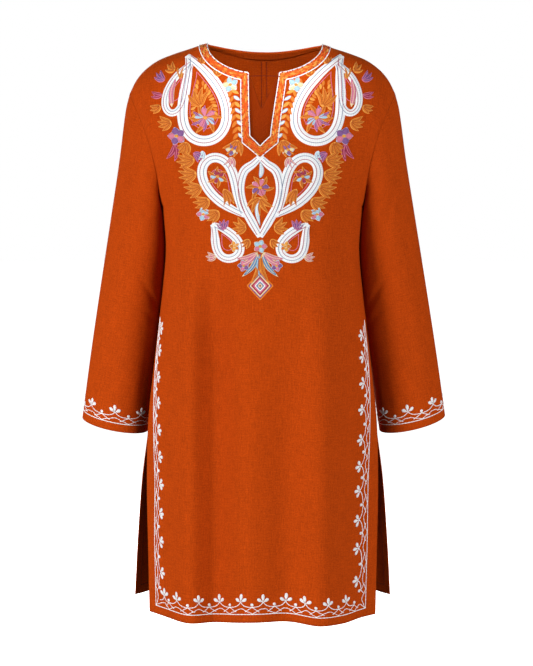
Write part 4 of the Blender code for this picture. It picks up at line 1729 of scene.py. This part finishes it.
@dataclass
class BackHems:
    """The rows of stitches that hold the turned hem and slit edges of the back, outside and inside."""

    grids: dict[int, ClothGrid]
    finish: bpy.types.Material
    turning: float = 0.0150
    slit_turning: float = 0.0110
    slit_height: float = 0.462
    cloth: float = 0.0012

    def build(self) -> None:
        """Sews the rows on both halves."""
        outer = Needlework("back_hem_stitches", self.outside, sink=0.0)
        inner = Needlework("back_hem_stitches_inside", self.inside, sink=0.0)
        for side, grid in self.grids.items():
            width = float(grid.across[-1, -1]) - self.slit_turning
            height = self.slit_height - self.turning
            hem = [(side * (self.slit_turning + width * n / 40), self.turning) for n in range(41)]
            slit = [(side * self.slit_turning, self.turning + height * n / 60) for n in range(61)]
            for row in (hem, slit):
                outer.line(row, Thread.RUST, 0.0011, 0.0005)
                # The inside row is sewn in SHADE, the outer row's colour darkened as painted shade.
                inner.line(row, Thread.SHADE, 0.0012, 0.0005)
        outer.finish(self.finish, "back_cloth")
        inner.finish(self.finish, "back_cloth")

    def outside(self, a: float, b: float, lift: float) -> Vector:
        """A place on the outer face, its first measure signed by the side."""
        return self.grids[1 if a > 0 else -1].from_corner(abs(a), b, lift, True)

    def inside(self, a: float, b: float, lift: float) -> Vector:
        """The same place on the inner face."""
        return self.outside(a, b, -self.cloth - lift)


@dataclass
class InnerStitches:
    """The stitch lines inside the back: down the centre seam and across below the facing."""

    form: GarmentForm
    finish: bpy.types.Material
    depth: float = 0.0022
    seam_lines: tuple[float, ...] = (-0.0018, 0.0070)
    top_row: float = 0.096
    foot_row: float = 0.985
    cross_row: float = 0.1265
    cross_half: float = 0.045

    def build(self) -> None:
        """Sews the lines."""
        work = Needlework("inner_stitches", self.inside, sink=0.0)
        for x in self.seam_lines:
            seam = [(x, self.top_row + (self.foot_row - self.top_row) * n / 60) for n in range(61)]
            # The seam lines are real stitches in SHADE, their darker colour painted shade.
            work.line(seam, Thread.SHADE, 0.0013, 0.0004)
        for start, end in ((-self.cross_half, 0.0), (0.0, self.cross_half)):
            cross = [(start + (end - start) * n / 8, self.cross_row) for n in range(9)]
            work.line(cross, Thread.SHADE, 0.0011, 0.0005)
        work.finish(self.finish, "inner_cloth")

    def inside(self, x: float, v: float, lift: float) -> Vector:
        """A place inside the back, by its distance from the middle and its row."""
        edge = self.form.row(False, v)[0]
        spread = self.form.spread
        share = math.asin(max(min(x / edge, 1.0), -1.0) * math.sin(spread)) / spread
        point, below, beside = (self.form.panel_point(False, share + over, v + down)
                                for over, down in ((0.0, 0.0), (0.0, 0.01), (0.02, 0.0)))
        normal = (below - point).cross(beside - point).normalized()
        if normal.y > 0:
            normal.negate()
        return point + normal * (self.depth + lift)


@dataclass
class Lozenge:
    """The small diamond of nested outlines below the yoke."""

    neck: Neckline
    ground: Ground
    finish: bpy.types.Material
    centre_z: float = -0.3850
    taller: float = 1.09
    rings: tuple[tuple[float, Thread, float], ...] = (
        (0.0205, Thread.ORANGE, 0.0026),
        (0.0178, Thread.PURPLE, 0.0018),
        (0.0156, Thread.CREAM, 0.0024),
        (0.0128, Thread.CRIMSON, 0.0024),
        (0.0102, Thread.PINK, 0.0020),
        (0.0078, Thread.WHITE, 0.0022),
        (0.0054, Thread.BLUE, 0.0022),
        (0.0030, Thread.CREAM, 0.0022),
    )

    def build(self) -> None:
        """Sews the diamond."""
        work = Needlework("lozenge", lambda a, b, lift: self.ground(*self.neck.lean((a, self.centre_z + b)), lift))
        for radius, thread, width in self.rings:
            high = radius * self.taller
            corners = [(0.0, high), (radius, 0.0), (0.0, -high), (-radius, 0.0), (0.0, high)]
            for start, end in zip(corners, corners[1:]):
                work.stroke([start, *straight(start, end, 6)], width, thread, 0.0009)
        work.knot((0.0, 0.0), 0.0014, Thread.CRIMSON)
        work.finish(self.finish, "coloured_thread")


@dataclass
class Borders:
    """Every border: along the front's hem, up its slits and round the cuffs."""

    body: Body
    sleeves: dict[int, ClothGrid]
    finish: bpy.types.Material
    slit_scales: tuple[float, float] = (0.70, 0.88)
    slit_insets: tuple[float, float] = (0.0165, 0.0225)
    slit_turns: tuple[float, float] = (0.0075, 0.0045)
    slit_top: float = 0.489
    cuff_scale: float = 0.90
    cuff_sprigs: int = 7
    cuff_firsts: tuple[float, float] = (-0.008, -0.030)
    turns_away: tuple[float, float] = (0.10, 0.24)
    turns_back: tuple[float, float] = (0.30, 0.42)
    turned_back: float = 0.6

    HEM_SPRIGS = (-0.1600, -0.1385, -0.1023, -0.0685, -0.0338, 0.0025, 0.0388, 0.0710, 0.1080, 0.1380)
    HEM_BUDS = (-0.1525, -0.1203, -0.0860, -0.0521, -0.0157, 0.0206, 0.0550, 0.0878, 0.1245, 0.1515)
    SLIT_SPRIGS = (
        (0.071, 0.122, 0.169, 0.218, 0.263, 0.307, 0.351, 0.3925, 0.436, 0.472),
        (0.064, 0.1165, 0.1635, 0.211, 0.2535, 0.296, 0.3455, 0.387, 0.430, 0.467),
    )

    def build(self) -> None:
        """Sews all the borders."""
        grid = self.body.front_grid
        border = Border()
        hem = Needlework("hem_border", grid.from_corner)
        sprigs, buds = (np.interp(places, grid.points[-1, :, 0], grid.across[-1]).tolist()
                        for places in (self.HEM_SPRIGS, self.HEM_BUDS))
        border.run(hem, sprigs, buds, (self.slit_insets[0], float(grid.across[-1, -1]) - self.slit_insets[1]))
        hem.finish(self.finish, "white_thread")
        for last, name in enumerate(("slit_border_right", "slit_border_left")):
            self.slit(name, last, border.inset)
        for name, side, first in zip(("cuff_border_left", "cuff_border_right"), (1, -1), self.cuff_firsts):
            self.cuff(name, self.sleeves[side], border, first)

    def slit(self, name: str, last: int, foot: float) -> None:
        """Sews the border up one slit, by the front's last column or its first."""
        def beside(a: float, b: float, lift: float) -> Vector:
            along = b + self.slit_turns[last] * self.turned_away(a)
            return self.body.front_grid.from_corner(along, a, lift, bool(last))

        upright = Border(inset=self.slit_insets[last], seed=12 + last)
        work = Needlework(name, beside)
        sprigs = [upright.shaken(place, 0.0012) for place in self.SLIT_SPRIGS[last]]
        buds = [0.0460] + [(a + b) / 2 for a, b in zip(sprigs, sprigs[1:])]
        upright.run(work, sprigs, buds, (foot, self.slit_top), self.slit_scales[last])
        work.finish(self.finish, "white_thread")

    def turned_away(self, above: float) -> float:
        """How much, 0 to 1, the edge of the front turns away beside its slits at a height above the hem."""
        return ease(*self.turns_away, above) * (1 - self.turned_back * ease(*self.turns_back, above))

    def cuff(self, name: str, grid: ClothGrid, border: Border, first: float) -> None:
        """Sews the border round one cuff, its first sprig at a share of the way round."""
        length = float(grid.across[-1, -1])
        work = Needlework(name, lambda a, b, lift: grid.from_corner(a % length, b, lift))
        pitch = length / self.cuff_sprigs
        start = length * first - pitch / 2
        sprigs = [start + pitch * (n + 0.5) for n in range(self.cuff_sprigs)]
        buds = [start + pitch * n for n in range(self.cuff_sprigs + 1)]
        border.run(work, sprigs, buds, (start, start + length), self.cuff_scale)
        work.finish(self.finish, "white_thread")


@dataclass
class Studio:
    """The pale floor, the soft light and the camera at the photograph's angle."""

    floor_z: float = -1.30
    floor_radius: float = 14.0
    pale: float = 0.9
    distance: float = 3.2
    elevation: float = 6.0
    target: Vector = field(default_factory=lambda: Vector((0.0066, 0.0, -0.4722)))
    inside_neck: Vector = field(default_factory=lambda: Vector((0.0, 0.08, -0.040)))
    frame_height: float = 1.099
    sensor: float = 36.0
    surround: float = 0.15

    LAMPS = (
        Lamp("key", (-2.9, -2.1, -0.20), 1.0, 152.0),
        Lamp("fill", (2.7, -2.5, -0.40), 1.6, 118.0),
        Lamp("rear", (-0.6, 2.9, 0.1), 1.2, 95.0),
    )

    def build(self) -> None:
        """Adds the floor, the lights, the world and the camera."""
        self.floor()
        for row in self.LAMPS:
            self.light(row.name, "AREA", row.place, self.target, energy=row.power, shape="DISK", size=row.size)
        self.light("neck", "SPOT", (0.0, -2.2, 0.42), self.inside_neck, energy=520.0,
                   spot_size=math.radians(5.5), spot_blend=1.0, shadow_soft_size=0.12)
        self.sky()
        bpy.context.scene.view_settings.view_transform = "Standard"
        self.camera()

    def sky(self) -> None:
        """A white surround that lights the cloth less than it shows."""
        world = bpy.data.worlds.new("studio")
        bpy.context.scene.world = world
        world.use_nodes = True
        tree = world.node_tree
        seen = tree.nodes.new("ShaderNodeLightPath").outputs["Is Camera Ray"]
        strength = tree.nodes.new("ShaderNodeMapRange")
        strength.inputs["To Min"].default_value = self.surround
        tree.links.new(seen, strength.inputs["Value"])
        tree.links.new(strength.outputs[0], tree.nodes["Background"].inputs["Strength"])
        tree.nodes["Background"].inputs["Color"].default_value = (1.0, 1.0, 1.0, 1.0)

    def floor(self) -> None:
        """A wide pale floor below the hanging hem."""
        mesh = bmesh.new()
        bmesh.ops.create_circle(mesh, cap_ends=True, radius=self.floor_radius, segments=96)
        bmesh.ops.translate(mesh, vec=(0, 0, self.floor_z), verts=mesh.verts[:])
        material = Nodes("pale_floor").finish(
            Base_Color=(self.pale, self.pale, self.pale, 1.0),
            Roughness=0.9,
            Specular_IOR_Level=0.0,
            Emission_Color=(1.0, 1.0, 1.0, 1.0),
            Emission_Strength=1.0,
        )
        floor = linked("floor", mesh, material)
        floor.visible_diffuse = False
        floor.visible_glossy = False

    def light(self, name: str, kind: str, place: tuple[float, float, float], aim: Vector,
              **settings: object) -> None:
        """Adds a lamp.

        Args:
            name: the lamp's name.
            kind: its kind of light.
            place: where it stands.
            aim: the place that it looks at.
            **settings: its other properties.
        """
        data = bpy.data.lights.new(name, kind)
        for key, value in settings.items():
            setattr(data, key, value)
        self.stand(name, data, Vector(place), aim)

    def camera(self) -> None:
        """Adds the camera."""
        data = bpy.data.cameras.new("camera")
        data.sensor_fit = "VERTICAL"
        data.sensor_height = self.sensor
        data.lens = self.sensor * self.distance / self.frame_height
        tilt = math.radians(self.elevation)
        place = self.target + Vector((0, -math.cos(tilt), math.sin(tilt))) * self.distance
        bpy.context.scene.camera = self.stand("camera", data, place, self.target)

    @staticmethod
    def stand(name: str, data: bpy.types.ID, place: Vector, aim: Vector) -> bpy.types.Object:
        """Adds a lamp or camera at one place that looks at another."""
        thing = bpy.data.objects.new(name, data)
        thing.location = place
        thing.rotation_euler = (aim - place).to_track_quat("-Z", "Y").to_euler()
        bpy.context.scene.collection.objects.link(thing)
        return thing


def main() -> None:
    """Loads the frame and dresses it."""
    logging.basicConfig(level=logging.INFO, format="%(name)s: %(message)s")
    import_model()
    Studio().build()
    form = GarmentForm()
    neck = Neckline(form)
    linen = Linen("rust_linen", (0.400, 0.046, 0.0024)).material()
    # The inset's linen is the rust linen at about half its brightness: painted shade for the piece that sits
    # behind the slit.
    inner = Linen("inner_linen_painted_shade", (0.190, 0.020, 0.0010), sheen=0.0).material()
    band_cloth = Linen("orange_band", (0.50, 0.085, 0.010)).material()
    thread = ThreadFinish("embroidery_thread").material()

    body = Body(form, neck, linen)
    front, backs = body.build()
    sleeves = Sleeves(form, linen).build()
    ahead, down = Vector((0, 1, 0)), Vector((0, 0, -1))
    on_front = seen_ground(piece_trees([front]), ahead, -0.02)
    on_back = seen_ground(piece_trees(backs), down, 0.0)
    whole_front = seen_ground([grid_tree(body.front_grid)], ahead, -0.002)
    Strips(form, neck, linen, inner, band_cloth, whole_front, on_back).build()
    BandStitches(neck, whole_front, thread).build()
    Yoke(form, neck, on_front, thread).build()
    Lozenge(neck, on_front, thread).build()
    InnerStitches(form, thread).build()
    BackHems(body.back_grids, thread).build()
    Borders(body, sleeves, thread).build()


if __name__ == "__main__":
    main()
